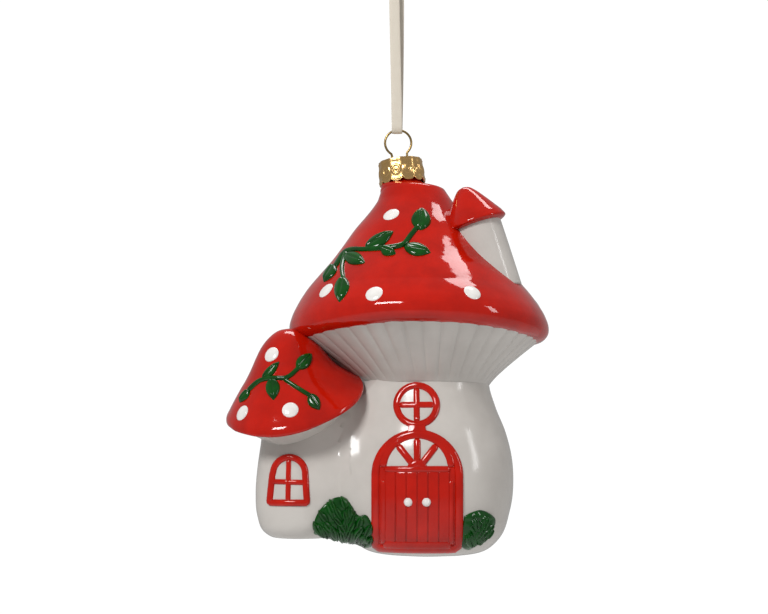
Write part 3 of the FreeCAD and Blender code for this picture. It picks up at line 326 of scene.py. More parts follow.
# Fillet between the two stalks: the reach of the melt, how far the search for it goes,
# the most that a wall grows, over what depth it ends inside the other stalk, and the
# foot that keeps its shape, with the height over which the growth sets in.
FILLET, FILLET_SEARCH, FILLET_MOST, FILLET_FADE = 19.0, 9.0, 6.5, 3.0
FOOT, FOOT_FADE = 0.3, 3.0

# Dome: heights and across places of its leaning middle; its wall, its bore and the
# ceiling of its hollow; the span of its field, and the share by which a gap measured
# level is longer than the true one; the axis, radius, foot and rise that vine and spots
# are placed by.
CAP_MIDDLE = ([67, 78, 95, 105, 108.8, 109.6, 110.1], [6.5, 5.8, 5.4, 5.5, 4.9, 3.2, 1.9])
CAP_WALL, CAP_BORE, CAP_CEILING = 3.0, 4.6, 107.0
CAP_SPAN, CAP_SLANT, CAP_BORE_ROWS = (63.0, 110.0), 0.75, 12
CAP_X, CAP_RADIUS, CAP_FOOT, CAP_RISE = 6.0, 38.7, 67.3, 41.9

# Wave of the dome's rim: its middle, rise in front, fall at the sides, and the lowest
# and highest places that it reaches, fading over a height.
WAVE_X, WAVE_FRONT, WAVE_SIDES = 6.2, 2.6, 0.8
WAVE_LOW, WAVE_HIGH, WAVE_FADE = 52.0, 77.0, 10.0

# Side cap: its middle, height, radius and slope to the left and front; the lobe that
# draws its front left up and in, and the tip that runs out at its right, as angle, rise
# or fall at the rim, and share of the radius; the row where its outer side begins.
SIDE_CAP_MIDDLE = np.array([-31.3, -10.5, 43.4])
SIDE_CAP_HEIGHT, SIDE_CAP_RADIUS = 22.0, 18.5
SIDE_CAP_SLOPE = np.array([0.36, 0.5])
LOBE_ANGLE, LOBE_RISE, LOBE_PULL = 212.0, 3.7, 0.07
TIP_ANGLE, TIP_FALL, TIP_REACH = -22.0, 1.2, 0.16
SIDE_CAP_OUTSIDE, SIDE_CAP_LOW, SIDE_CAP_SLANT = 20, -1.7, 0.7


def cap_middle(height):
    """Across place of the dome's middle, which leans to the left as it rises."""
    return np.interp(height, *CAP_MIDDLE)


def rim_wave(points):
    """Rise of the dome's rim and of the gills under it: up in front, down at the sides,
    fading to none below and above."""
    away = points - [WAVE_X, 0, 0]
    front = np.clip(-away[..., 1] / np.hypot(away[..., 0], away[..., 1]).clip(1), 0, 1)
    fade = np.clip((points[..., 2] - WAVE_LOW) / WAVE_FADE, 0, 1) * np.clip(
        (WAVE_HIGH - points[..., 2]) / WAVE_FADE, 0, 1)
    return ((WAVE_FRONT * front**2 - WAVE_SIDES) * fade)[..., None] * [0, 0, 1]


def cap_field(points):
    """Field of the leaning dome."""
    points = points - rim_wave(points)
    outer = CAP_PROFILE[:-CAP_BORE_ROWS]
    order = np.argsort(outer[:, 1])
    height = points[..., 2]
    spread = np.hypot(points[..., 0] - cap_middle(height), points[..., 1])
    radius = np.interp(height, outer[order, 1], outer[order, 0])
    beyond = np.maximum(CAP_SPAN[0] - height, height - CAP_SPAN[1])
    return np.maximum((spread - radius) * CAP_SLANT, beyond)


def side_cap_drape(points):
    """How far the side cap's rim hangs and how far it is drawn in, per (x, y) place.

    It slopes down to the left and the front, its front left is drawn up by a lobe, and
    its right runs out to a tip against the large stalk.
    """
    spread = np.hypot(points[..., 0], points[..., 1])
    turn = np.arctan2(points[..., 1], points[..., 0])
    lobe = np.clip(np.cos(turn - math.radians(LOBE_ANGLE)), 0, 1) ** 2
    tip = np.clip(np.cos(turn - math.radians(TIP_ANGLE)), 0, 1) ** 6
    rise = (LOBE_RISE * lobe - TIP_FALL * tip) * spread / SIDE_CAP_RADIUS
    return points[..., :2] @ SIDE_CAP_SLOPE + rise, LOBE_PULL * lobe - TIP_REACH * tip


def drooped(points):
    """Side cap from its own upright place to the house's, fading to none at its top."""
    fade = 1 - points[..., 2] / SIDE_CAP_HEIGHT
    flat = points[..., :2] * (1 - side_cap_drape(points)[1] * fade)[..., None]
    height = points[..., 2] + side_cap_drape(flat)[0] * fade
    return np.concatenate([flat, height[..., None]], axis=-1) + SIDE_CAP_MIDDLE


def side_cap_field(points):
    """Field of the drooping side cap, by the inverse of its drape."""
    local = points - SIDE_CAP_MIDDLE
    hang, pull = side_cap_drape(local)
    height = (local[..., 2] - hang) / (1 - hang / SIDE_CAP_HEIGHT)
    outer = SIDE_CAP_PROFILE[SIDE_CAP_OUTSIDE:]
    radius = np.interp(height, outer[:, 1], outer[:, 0])
    radius = radius * (1 - pull * (1 - height / SIDE_CAP_HEIGHT))
    spread = np.hypot(local[..., 0], local[..., 1])
    return np.maximum((spread - radius) * SIDE_CAP_SLANT,
                      np.maximum(SIDE_CAP_LOW - height, height - SIDE_CAP_HEIGHT))


stalk_field = lathe_field(STALK_PROFILE, STALK_PLACE)
side_field = lathe_field(SIDE_PROFILE, SIDE_PLACE)
wall_field = melted(stalk_field, side_field, FILLET)


# Materials. Each is a pottery glaze, a metal or a cloth, named for how it was made.


def add_node(tree, kind, settings=None, links=None):
    """A node with its values set and its inputs linked."""
    node = tree.nodes.new(kind)
    for key, value in (settings or {}).items():
        if key in node.inputs:
            node.inputs[key].default_value = value
        else:
            setattr(node, key, value)
    for key, source in (links or {}).items():
        tree.links.new(source, node.inputs[key])
    return node


def empty_material(name):
    """A new material without nodes, and its tree."""
    material = bpy.data.materials.new(name)
    material.use_nodes = True
    material.node_tree.nodes.clear()
    return material, material.node_tree


def principled(tree, settings, links):
    """The tree's shader, linked to its output."""
    shader = add_node(tree, "ShaderNodeBsdfPrincipled", settings, links)
    add_node(tree, "ShaderNodeOutputMaterial", links={"Surface": shader.outputs["BSDF"]})


def noise(tree, size, detail, roughness=0.5):
    """Noise over the object's own place, in cells of size mm."""
    place = add_node(tree, "ShaderNodeTexCoord").outputs["Object"]
    return add_node(tree, "ShaderNodeTexNoise",
                    {"Scale": 1 / mm(size), "Detail": detail, "Roughness": roughness},
                    {"Vector": place}).outputs["Fac"]


def bumped(tree, height, strength, depth):
    """Surface tilted by a texture that stands for depth mm."""
    return add_node(tree, "ShaderNodeBump", {"Strength": strength, "Distance": mm(depth)},
                    {"Height": height}).outputs["Normal"]


def blended(tree, share, first, second):
    """Colour between two hex ones, by a share."""
    paint = add_node(tree, "ShaderNodeMix", {"data_type": "RGBA"}, {"Factor": share})
    paint.inputs[6].default_value = linear(first)
    paint.inputs[7].default_value = linear(second)
    return paint.outputs[2]


def glaze(name, colour, deep, roughness, streak, pool, dimple):
    """Hand-brushed underglaze colour below a clear glaze, as on painted ornaments.

    The colour runs a little darker in streaks, streak mm across, by the share pool.
    Dimples of 1.5 mm, dimple mm deep, make the mirror of the lamps waver.
    """
    material, tree = empty_material(name)
    share = add_node(tree, "ShaderNodeMapRange",
                     {"From Min": 0.35, "From Max": 0.7, "To Max": pool},
                     {"Value": noise(tree, streak, 3.0, 0.6)})
    principled(tree, {"Roughness": roughness, "IOR": 1.38},
               {"Base Color": blended(tree, share.outputs["Result"], colour, deep),
                "Normal": bumped(tree, noise(tree, 5.0, 2.0), 0.3, dimple)})
    return material


def metal(name, colour, roughness, grain, depth):
    """Plated sheet or wire: full metallic, with a fine grain of grain mm."""
    material, tree = empty_material(name)
    principled(tree, {"Base Color": linear(colour), "Metallic": 1.0,
                      "Roughness": roughness},
               {"Normal": bumped(tree, noise(tree, grain, 4.0), 0.4, depth)})
    return material


def woven(name, colour, shade, thread):
    """Satin ribbon: warp and weft, thread mm apart, read from its UVs."""
    material, tree = empty_material(name)
    coords = add_node(tree, "ShaderNodeTexCoord").outputs["UV"]
    cross = add_node(tree, "ShaderNodeMath", {"operation": "MULTIPLY"})
    for place, direction in enumerate("XY"):
        threads = add_node(tree, "ShaderNodeTexWave",
                           {"Scale": np.pi / (10 * mm(thread)), "Distortion": 0.6,
                            "bands_direction": direction}, {"Vector": coords})
        tree.links.new(threads.outputs["Fac"], cross.inputs[place])
    weave = cross.outputs["Value"]
    principled(tree, {"Roughness": 0.55, "Sheen Weight": 0.3},
               {"Base Color": blended(tree, weave, shade, colour),
                "Normal": bumped(tree, weave, 0.5, 0.05)})
    return material


# Reliefs: beads, patches, leaves and drops that lie on the walls.


def rounded_ends(path, width):
    """Shares of a bead's width along a path: a quarter round at each open end."""
    run = run_along(path)
    nearest = np.minimum(run, run[-1] - run)
    return np.sqrt(np.clip(1 - (1 - np.minimum(nearest / (width / 2), 1)) ** 2, 0, 1))


def bead(name, path, width, height, field, closed=False):
    """A raised line of paint or slip along a path of (x, z) seen from the front.

    Its section is a half ellipse w/2 cos, h sin over the wall, closed below it.
    """
    path = np.asarray(path, float)
    ahead = np.roll(path, -1, axis=0) - np.roll(path, 1, axis=0)
    if not closed:
        ahead[0], ahead[-1] = path[1] - path[0], path[-1] - path[-2]
    ahead = unit(ahead)
    side = np.stack([-ahead[:, 1], ahead[:, 0]], axis=1)
    taper = np.ones(len(path)) if closed else rounded_ends(path, width)
    turn = np.linspace(0, np.pi, 11)
    across = np.concatenate([np.cos(turn), [-1.0, 1.0]]) * width / 2
    lift = np.concatenate([np.sin(turn) * height, [-SINK, -SINK]])
    seat, out = on_wall(
        path[:, None] + side[:, None] * (across[None] * taper[:, None])[..., None], field)
    raised = np.where(lift > 0, lift * taper[:, None], lift)
    return mesh_from_grid(name, seat + out * raised[..., None], along=closed)


def beads(lines, high, field):
    """Beads from rows of (name, path, width, share of the height high)."""
    return [bead(name, path, width, high * share, field)
            for name, path, width, share in lines]


def patch(name, low, high, lift, field):
    """A field of colour between a low and a high line of (x, z) points, raised by lift
    and closed by a rim that is turned down into the wall."""
    t = np.linspace(0, 1, 24)[:, None, None]
    seat, out = on_wall(low[None] * (1 - t) + high[None] * t, field)
    top, rim = seat + out * lift, seat - out * SINK
    rim = np.concatenate([rim[:1], rim, rim[-1:]])
    grid = np.concatenate([rim[:1], top, rim[-1:]])
    return mesh_from_grid(name, np.concatenate([rim[:, :1], grid, rim[:, -1:]], axis=1),
                          around=False)


def leaf(name, base, tip, width, height, field):
    """A domed leaf from base to tip: half width w sin(pi s^0.85)^0.8, height
    h(1 - t^2)^0.5 less a midrib of 0.35 h, with s along it and t across it."""
    base, tip = np.asarray(base, float), np.asarray(tip, float)
    along = tip - base
    across = unit(np.array([-along[1], along[0]]))
    s = np.linspace(0, 1, 33)[:, None]
    t = np.concatenate([np.linspace(-1, 1, 21), [0.9, -0.9]])[None]
    share = np.sin(np.pi * s ** 0.85) ** 0.8
    seat, out = on_wall(base + along * s[..., None]
                        + across * (t * share * width / 2)[..., None], field)
    dome = np.sqrt(np.clip(1 - t**2, 0, 1)) - 0.35 * np.exp(-(t / 0.14) ** 2)
    lift = height * np.clip(dome, 0, 1) * np.minimum(share * 1.6, 1)
    lift[:, -2:] = -LEAF_SINK
    return mesh_from_grid(name, seat + out * lift[..., None])


def drop(name, seat, out, radius, height, field):
    """A round drop of white slip: height h(1 - (r/R)^2)^0.5 over the wall."""
    spin = whole_turn(32)[:, None]
    side = unit(np.cross(out, [0.0, 0.0, 1.0]))
    up = np.cross(side, out)
    reach = np.concatenate([np.sin(np.linspace(0, np.pi / 2, 9)), [0.96]])[:, None]
    ring = side * np.cos(spin) + up * np.sin(spin)
    low = settled(seat + ring * (reach * radius)[..., None], -out, field, 4.0)
    lift = height * np.sqrt(np.clip(1 - reach**2, 0, 1))
    lift[-1] = -LEAF_SINK
    return mesh_from_grid(name, low + out * lift[..., None])


# Sizes and colours that a user would change.


def colour_setting(name, default, where=""):
    """A colour that a user may change."""
    return bpy.props.StringProperty(name=name, description="sRGB hex" + where,
                                    default=default)


def length_setting(name, description, default):
    """A length, given in mm, that a user may change."""
    return bpy.props.FloatProperty(name=name, description=description,
                                   default=mm(default), unit="LENGTH")


def count_setting(name, description, default, low, high):
    """A number of parts that a user may change."""
    return bpy.props.IntProperty(name=name, description=description, default=default,
                                 min=low, max=high)


class CastingSettings(bpy.types.PropertyGroup):
    """Sizes and glazes of the fired casting"""

    red: colour_setting("Red glaze", "B41504")
    red_deep: colour_setting("Red streaks", "860B03", " where the brush left more")
    white: colour_setting("White glaze", "C0BBB5")
    white_deep: colour_setting("White, pooled", "AEA8A2", " in the hollows")
    # The white of spots and knobs is the white glaze painted brighter: a painted highlight
    # for the light that their raised tops catch.
    lit_dots: colour_setting("White dots, painted highlight", "E2DFDB", " of spots and knobs")
    green: colour_setting("Green glaze", "06480C")
    green_deep: colour_setting("Green, pooled", "032607", " where it pools")
    ribs: count_setting("Ribs", "Ribs round the large gills", 40, 12, 80)
    side_ribs: count_setting("Side ribs", "Ribs round the side gills", 26, 8, 60)
    unevenness: length_setting("Unevenness", "How far the hand-finished walls waver", 0.16)
    line_height: length_setting("Raised lines", "How far frames stand out of the wall",
                                0.75)
    spot_height: length_setting("Spots", "How far a white spot stands out", 0.5)


class FittingSettings(bpy.types.PropertyGroup):
    """Sizes and colours of crown, wire and ribbon"""

    gold: colour_setting("Crown", "D6AE72")
    old_gold: colour_setting("Wire", "8C7448")
    cream: colour_setting("Ribbon", "E6DFD2")
    cream_shade: colour_setting("Ribbon, between threads", "BDB4A4")
    panels: count_setting("Panels", "Embossed panels of the crown", 12, 4, 24)


class StageSettings(bpy.types.PropertyGroup):
    """Floor and camera"""

    floor: colour_setting("Floor", "FBFBFB")
    eye_distance: length_setting("Eye distance", "Camera from the hanging axis", 391.3)
    lens: bpy.props.FloatProperty(name="Lens", description="Focal length for a 36 mm frame",
                                  default=61.6, unit="CAMERA")
    tilt: bpy.props.FloatProperty(name="Tilt", description="How far the camera looks up",
                                  default=math.radians(7.24), unit="ROTATION")


# Glazes of the casting: name, settings of its colour and of its streaks, material slot,
# roughness, size and share of the streaks, depth of the dimples.
GLAZES = {
    "red": ("Red Overglaze", "red", "red_deep", "red_glaze", 0.06, 9.0, 0.5, 0.2),
    "white": ("White Tin Glaze", "white", "white_deep", "white_glaze", 0.16, 14.0, 0.6,
              0.09),
    "green": ("Green Overglaze", "green", "green_deep", "green_glaze", 0.1, 4.0, 0.7, 0.1),
    # The last glaze is the white glaze painted brighter for spots and knobs, a painted
    # highlight for the light on their raised tops; its streaks run to the plain white.
    "lit_dots": ("White Dots Painted Highlight", "lit_dots", "white", "white_glaze", 0.12, 3.0, 0.4, 0.05)}


def casting():
    """The settings of the fired casting."""
    return bpy.context.scene.ornament_casting


def dressed(piece, material, body, slot, *nodes):
    """Give a piece its glaze or metal, its body and the nodes it stands for; slot is not
    used.
    """
    piece.data.materials.append(material)
    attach(piece, body)
    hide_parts(*nodes)
    return piece


def fired(piece, key, node):
    """Dress a member of the casting with a glaze, which is made when first used."""
    name, colour, deep, slot, *finish = GLAZES[key]
    s = casting()
    material = bpy.data.materials.get(name) or glaze(name, getattr(s, colour),
                                                     getattr(s, deep), *finish)
    return dressed(piece, material, "house", slot, node)


def waver(points, seed=0.0, size=17.0):
    """Points moved by the hand-made unevenness, away from their middle axis, in full
    where they are 40 mm away."""
    return points + (bumpy(points, size, seed) * casting().unevenness / MM)[..., None] * (
        points - points.mean(axis=(0, 1))) / 40.0


class Walls(bpy.types.Operator):
    """Main and side stalks: turned walls that melt into one another with a fillet"""

    bl_idname = "ornament.walls"
    bl_label = "Walls"

    def execute(self, context):
        for name, node, profile, place, field, other in (
                ("Main_Stalk", "main_stalk", STALK_PROFILE, STALK_PLACE, stalk_field,
                 side_field),
                ("Side_Stalk", "side_stalk", SIDE_PROFILE, SIDE_PLACE, side_field,
                 stalk_field)):
            closed = np.concatenate([profile, [[0, profile[-1, 1]]]])
            wall = moved(turned(closed, 256), place)
            out = normals(wall, field)
            near = other(wall)
            grown = settled(wall, out, lambda p: -wall_field(p), FILLET_SEARCH,
                            FILLET_SEARCH)
            grow = np.minimum(np.linalg.norm(grown - wall, axis=-1), FILLET_MOST)
            grow = grow * np.clip(1 + near / FILLET_FADE, 0, 1) * (near <= FILLET)
            rise = np.clip((wall[..., 2] - place[2, 3] - FOOT) / FOOT_FADE, 0, 1)
            wall = waver(wall + out * (grow * rise)[..., None])
            fired(mesh_from_grid(name, wall), "white", node)
        return {"FINISHED"}


def ribbed(low, low_radius, high, high_radius, ribs, groove, curve):
    """Grid of a fluted funnel: radius less groove times (1 - |sin(n a / 2)|^0.5),
    a row of broad round ribs with narrow grooves, over a flare that eases by curve."""
    turn = whole_turn(ribs * 12)
    t = np.linspace(0, 1, 40)[:, None]
    radius = low_radius + (high_radius - low_radius) * t**curve
    cut = (1 - np.abs(np.sin(ribs * turn / 2)) ** 0.5) * groove * (0.25 + 0.75 * t)
    middle = np.asarray(low) + (np.asarray(high) - low) * t
    return rings(radius - cut * np.clip(t * 8, 0, 1), 0.0, turn) + middle[:, None]


class Gills(bpy.types.Operator):
    """Ribbed white collars under the two large caps"""

    bl_idname = "ornament.gills"
    bl_label = "Gills"

    def execute(self, context):
        s = casting()
        main = ribbed((8.4, 0, 49.3), 18.95, (6.2, 0, 64.6), 37.6, s.ribs, 0.95, 1.12)
        main = with_lids(main + rim_wave(main))
        fired(mesh_from_grid("Gill_Collar", main), "white", "gill_collar")
        side = ribbed((1.6, 1.5, -6.4), 11.4, (0, 0, -1.0), 17.9, s.side_ribs, 0.3, 1.1)
        fired(mesh_from_grid("Side_Gills", drooped(with_lids(side))), "white",
              "side_gills")
        return {"FINISHED"}


class Caps(bpy.types.Operator):
    """The three glossy red caps, the chimney's stem and the neck with its shoulder"""

    bl_idname = "ornament.caps"
    bl_label = "Caps"

    def execute(self, context):
        dome = turned(CAP_PROFILE, 320)
        dome[..., 0] += cap_middle(dome[..., 2])
        inner = dome[::-4]
        middle = np.stack([cap_middle(inner[..., 2]), 0 * inner[..., 0], inner[..., 2]],
                          axis=-1)
        spread = np.linalg.norm(inner - middle, axis=-1, keepdims=True)
        inner = middle + (inner - middle) * np.maximum(spread - CAP_WALL, CAP_BORE) / spread
        inner[..., 2] = np.minimum(inner[..., 2], CAP_CEILING)
        dome = np.concatenate([waver(dome, 1.0), inner])
        dome = dome + rim_wave(dome)
        fired(mesh_from_grid("Main_Cap", dome, along=True), "red", "main_cap")
        cap = drooped(waver(turned(SIDE_CAP_PROFILE, 256), 2.0, 9.0))
        fired(mesh_from_grid("Side_Cap", with_lids(cap)), "red", "side_cap")
        tip = moved(turned(CHIMNEY_CAP_PROFILE, 128), CHIMNEY_CAP_PLACE)
        fired(mesh_from_grid("Chimney_Cap", tip), "red", "chimney_cap")
        stem = moved(with_lids(turned(CHIMNEY_STEM_PROFILE, 128)), CHIMNEY_PLACE)
        fired(mesh_from_grid("Chimney_Stem", stem), "white", "chimney_stem")
        neck = moved(turned(NECK_PROFILE, 96), CROWN_PLACE)
        fired(mesh_from_grid("Neck", neck, along=True), "red", "neck")
        return {"FINISHED"}


# Doorway: middle, half width and foot of its frame, foot of the jambs and spring of the
# arch; half way between the jambs, height of the transom, middle and radius of the
# fanlight and reach of its bars; number of planks, how far left of the middle they begin,
# their width, gap, foot and head; how far panes, backing and planks stand out; the knobs.
DOOR_X, DOOR_HALF, DOOR_FOOT, JAMB_FOOT, DOOR_SPRING = 5.3, 11.6, 3.4, 3.6, 22.4
JAMB_HALF, TRANSOM, FAN_FOOT, FAN_RADIUS, FAN_BAR = 9.4, 24.6, 24.4, 8.9, (2, 8.8)
PLANKS, PLANKS_LEFT, PLANK_WIDTH, PLANK_GAP = 6, 8.9, 2.97, 0.12
PLANK_LOW, PLANK_HIGH = 4.0, 24.2
PANE_LIFT, BACKING_LIFT, PLANK_LIFT = 0.08, 0.12, 0.32
KNOB_OFFSET, KNOB_HEIGHT, KNOB_RADIUS, KNOB_LIFT = 2.5, 15.6, 1.25, 1.3


class Doorway(bpy.types.Operator):
    """Red double door with planks, its arched frame, fanlight and knobs"""

    bl_idname = "ornament.doorway"
    bl_label = "Doorway"

    def execute(self, context):
        high = casting().line_height / MM
        left, right = DOOR_X - DOOR_HALF, DOOR_X + DOOR_HALF
        outline = np.concatenate([
            straight((left, DOOR_FOOT), (left, DOOR_SPRING)),
            arc(DOOR_X, DOOR_SPRING + 0.5, DOOR_HALF, 178, 2, 40),
            straight((right, DOOR_SPRING), (right, DOOR_FOOT)),
            straight((right - 1.2, DOOR_FOOT - 0.9), (left + 1.2, DOOR_FOOT - 0.9))])
        lines = [("Door Jamb " + side, straight((x, JAMB_FOOT), (x, DOOR_SPRING - 0.4)),
                  1.5, 0.7)
                 for side, x in (("L", DOOR_X - JAMB_HALF), ("R", DOOR_X + JAMB_HALF))]
        lines += [
            ("Transom", level(DOOR_X, JAMB_HALF, TRANSOM), 1.8, 1.0),
            ("Sill", level(DOOR_X, JAMB_HALF + 0.4, JAMB_FOOT), 2.6, 1.0),
            ("Fan Round", arc(DOOR_X, TRANSOM, 9.5, 2, 178, 40), 2.2, 0.8),
            ("Keystone", arc(DOOR_X, FAN_FOOT, 1.8, 0, 180, 16), 2.4, 1.0)]
        for angle in (52, 90, 128):
            way = arc(0, 0, 1.0, angle, angle, 1)[0]
            ends = [np.array([DOOR_X, FAN_FOOT]) + way * reach for reach in FAN_BAR]
            lines.append(("Fan Bar", straight(*ends), 2.0, 1.0))
        rim = bead("Door Rim", outline, 2.3, high, wall_field, closed=True)
        fired(joined("Door_Frame", [rim] + beads(lines, high, wall_field)), "red",
              "door_frame")
        planks = [patch("Backing", level(DOOR_X, 11, 3.0), level(DOOR_X, 11, 25.3),
                        BACKING_LIFT, wall_field)]
        for number in range(PLANKS):
            middle = DOOR_X - PLANKS_LEFT + (number + 0.5) * PLANK_WIDTH
            low, top = [level(middle, PLANK_WIDTH / 2 - PLANK_GAP, z, 9)
                        for z in (PLANK_LOW, PLANK_HIGH)]
            planks.append(patch("Plank", low, top, PLANK_LIFT, wall_field))
        fired(joined("Door_Leaves", planks), "red", "door_leaves")
        fan = patch("Fanlight_Panes", level(DOOR_X, FAN_BAR[1], TRANSOM),
                    arc(DOOR_X, FAN_FOOT, FAN_RADIUS, 178, 2, 24), PANE_LIFT, wall_field)
        fired(fan, "white", "fanlight_panes")
        knobs = []
        for side in (-1, 1):
            flat = np.array([[DOOR_X + side * KNOB_OFFSET, KNOB_HEIGHT]])
            seat, out = [rows[0] for rows in on_wall(flat, wall_field)]
            knobs.append(drop("Knob", seat + out * 0.3, out, KNOB_RADIUS, KNOB_LIFT,
                              wall_field))
        # The knobs take the white glaze painted brighter, a painted highlight.
        fired(joined("Door_Knobs", knobs), "lit_dots", "door_knobs")
        return {"FINISHED"}


# Windows: middle of the round one, with its radius and that of its panes; middle, foot,
# half width and spring of the arched one, with the half width of its panes.
ROUND_Z, ROUND_RADIUS, ROUND_PANES = 42.6, 5.6, 5.2
ARCH_X, ARCH_FOOT, ARCH_HALF, ARCH_SPRING, ARCH_PANES = -30.7, 15.6, 5.3, 23.0, 4.4


class Windows(bpy.types.Operator):
    """The round window over the door and the arched one of the side toadstool"""

    bl_idname = "ornament.windows"
    bl_label = "Windows"

    def execute(self, context):
        high = casting().line_height / MM
        x, z = DOOR_X, ROUND_Z
        parts = [bead("Ring", arc(x, z, ROUND_RADIUS, 0, 360, 65)[:-1], 2.0, high,
                      wall_field, closed=True)]
        parts += beads((("Upright", straight((x, z - 5), (x, z + 5)), 1.8, 0.8),
                        ("Level", level(x, 5, z), 1.8, 0.8)), high, wall_field)
        parts.append(patch("Tie", level(x, 2.6, z - 8.0), level(x, 2.2, z - 5.8),
                           high * 0.8, wall_field))
        fired(joined("Round_Window", parts), "red", "round_window")
        pane = patch("Round_Window_Panes", arc(x, z, ROUND_PANES, 180, 360, 24),
                     arc(x, z, ROUND_PANES, 180, 0, 24), PANE_LIFT, wall_field)
        fired(pane, "white", "round_window_panes")

        x, foot, half, spring = ARCH_X, ARCH_FOOT, ARCH_HALF, ARCH_SPRING
        outline = np.concatenate([
            straight((x - half, foot), (x - half * 0.86, spring)),
            arc(x + 0.2, spring + 0.4, half * 0.86, 176, 4, 24),
            straight((x + half * 0.9, spring), (x + half, foot)),
            straight((x + half - 0.4, foot - 0.3), (x - half + 0.4, foot - 0.3))])
        parts = [bead("Rim", outline, 1.9, high, wall_field, closed=True)]
        parts += beads((("Upright", straight((x, foot), (x + 0.1, 27.6)), 1.5, 0.8),
                        ("Level", straight((x - 5, 21.2), (x + 5, 20.9)), 1.5, 0.8)),
                       high, wall_field)
        fired(joined("Arched_Window", parts), "red", "arched_window")
        near, far = x - ARCH_PANES, x + ARCH_PANES
        shoulder = spring + 0.2
        top = np.concatenate([[(near, shoulder), (near, shoulder + 0.1)],
                              arc(x + 0.1, shoulder, ARCH_PANES, 172, 8, 20),
                              [(far, shoulder + 0.1), (far, shoulder)]])
        pane = patch("Arched_Window_Panes", level(x, 5, foot), top, PANE_LIFT, wall_field)
        fired(pane, "white", "arched_window_panes")
        return {"FINISHED"}


# How places are read off the photograph: its middle column, the row of the underside,
# mm to a pixel at the hanging axis, and across place and height of the eye.
PHOTO_COLUMN, PHOTO_ROW, PHOTO_SCALE, EYE_X, EYE_Z = 384, 553, 0.3, -3.9, 22


def on_photo(column, row, share=0.93):
    """(x, z) of a place read off the photograph, where share is how much nearer than the
    hanging axis it lies to the eye, 350 mm away."""
    return np.array([(column - PHOTO_COLUMN) * PHOTO_SCALE * share + EYE_X,
                     EYE_Z + ((PHOTO_ROW - row) * PHOTO_SCALE - EYE_Z) * share])


def on_cap(across, up):
    """(x, z) of a place given as shares of the dome's radius and height."""
    return np.array([CAP_X + CAP_RADIUS * across, CAP_FOOT + CAP_RISE * up])


# Vines: stem and branch as (name, places, points, width, height), then leaves as (base,
# tip, width). The main one is placed by shares of the dome, the side one by pixels.
MAIN_VINE = (
    ("Stem", ((-.623, .365), (-.537, .487), (-.395, .473), (-.234, .470), (-.111, .494),
              (-.060, .561), (.022, .668)), 70, 1.5, 0.85),
    ("Branch", ((-.537, .487), (-.565, .36), (-.550, .241)), 30, 1.3, 0.8))
MAIN_LEAVES = (
    ((-.395, .473), (-.185, .60), 4.4), ((-.111, .470), (.085, .425), 4.4),
    ((-.545, .45), (-.395, .36), 4.4), ((-.548, .27), (-.575, .075), 4.4),
    ((.012, .60), (.030, .79), 5.8), ((-.62, .39), (-.70, .25), 3.8),
    ((-.28, .47), (-.17, .415), 3.6))
SIDE_VINE = (
    ("Stem", ((246, 391), (259, 381), (272, 379), (285, 379), (300, 366)), 50, 1.3, 0.8),
    ("Branch", ((283, 380), (295, 388), (311, 398)), 30, 1.2, 0.8))
SIDE_LEAVES = (
    ((296, 370), (310, 353), 4.0), ((261, 381), (278, 362), 2.6),
    ((271, 379), (274, 402), 4.2), ((309, 396), (320, 412), 3.4),
    ((248, 390), (237, 403), 2.4))


class Vines(bpy.types.Operator):
    """Raised green vines with leaves on the two large caps"""

    bl_idname = "ornament.vines"
    bl_label = "Vines"

    def execute(self, context):
        for name, node, stems, leaves, thick, place, field in (
                ("Main_Vine", "main_vine", MAIN_VINE, MAIN_LEAVES, 1.15, on_cap,
                 cap_field),
                ("Side_Vine", "side_vine", SIDE_VINE, SIDE_LEAVES, 1.05, on_photo,
                 side_cap_field)):
            lines = [(part, smooth_line([place(*at) for at in places], count), width, high)
                     for part, places, count, width, high in stems]
            parts = beads(lines, 1.0, field)
            parts += [leaf("Leaf", place(*base), place(*tip), width, thick, field)
                      for base, tip, width in leaves]
            fired(joined(name, parts), "green", node)
        return {"FINISHED"}


# Spots: (degrees round from the front, share of the height) on the dome and at the back
# of the side cap, pixels at its front; the radii; where level rays at them start, and
# how far they search.
MAIN_SPOTS = [(-28, 0.74), (-49, 0.18), (-20, 0.12), (23, 0.13), (88, 0.15), (106, 0.55),
              (112, 0.16), (160, 0.46), (-158, 0.14), (-116, 0.50), (-100, 0.14)]
SIDE_SPOTS = [(269, 354), (291, 412), (241, 414)]
SIDE_BACK_SPOT = -128, 0.40
MAIN_SPOT_RADIUS, SIDE_SPOT_RADIUS = 2.5, 2.3
SPOT_START, SPOT_REACH = 60, 75.0


class Spots(bpy.types.Operator):
    """White drops of slip on the two large caps"""

    bl_idname = "ornament.spots"
    bl_label = "Spots"

    def execute(self, context):
        def seat_round(middle, angle, field):
            turn = math.radians(angle)
            way = np.array([-math.sin(turn), math.cos(turn), 0.0])
            start = np.array(middle)[None] - way * SPOT_START
            return settled(start, way, field, SPOT_REACH)[0]

        main = [seat_round((CAP_X, 0, CAP_FOOT + CAP_RISE * share), angle, cap_field)
                for angle, share in MAIN_SPOTS]
        side = [on_wall(on_photo(*place)[None], side_cap_field)[0][0]
                for place in SIDE_SPOTS]
        angle, share = SIDE_BACK_SPOT
        side.append(seat_round(SIDE_CAP_MIDDLE + [0, 0, share * SIDE_CAP_HEIGHT], angle,
                               side_cap_field))
        for name, node, seats, radius, field in (
                ("Main_Spots", "main_spots", main, MAIN_SPOT_RADIUS, cap_field),
                ("Side_Spots", "side_spots", side, SIDE_SPOT_RADIUS, side_cap_field)):
            drops = [drop("Spot", seat, normals(seat, field), radius,
                          casting().spot_height / MM, field) for seat in seats]
            # The spots take the white glaze painted brighter, a painted highlight.
            fired(joined(name, drops), "lit_dots", node)
        return {"FINISHED"}


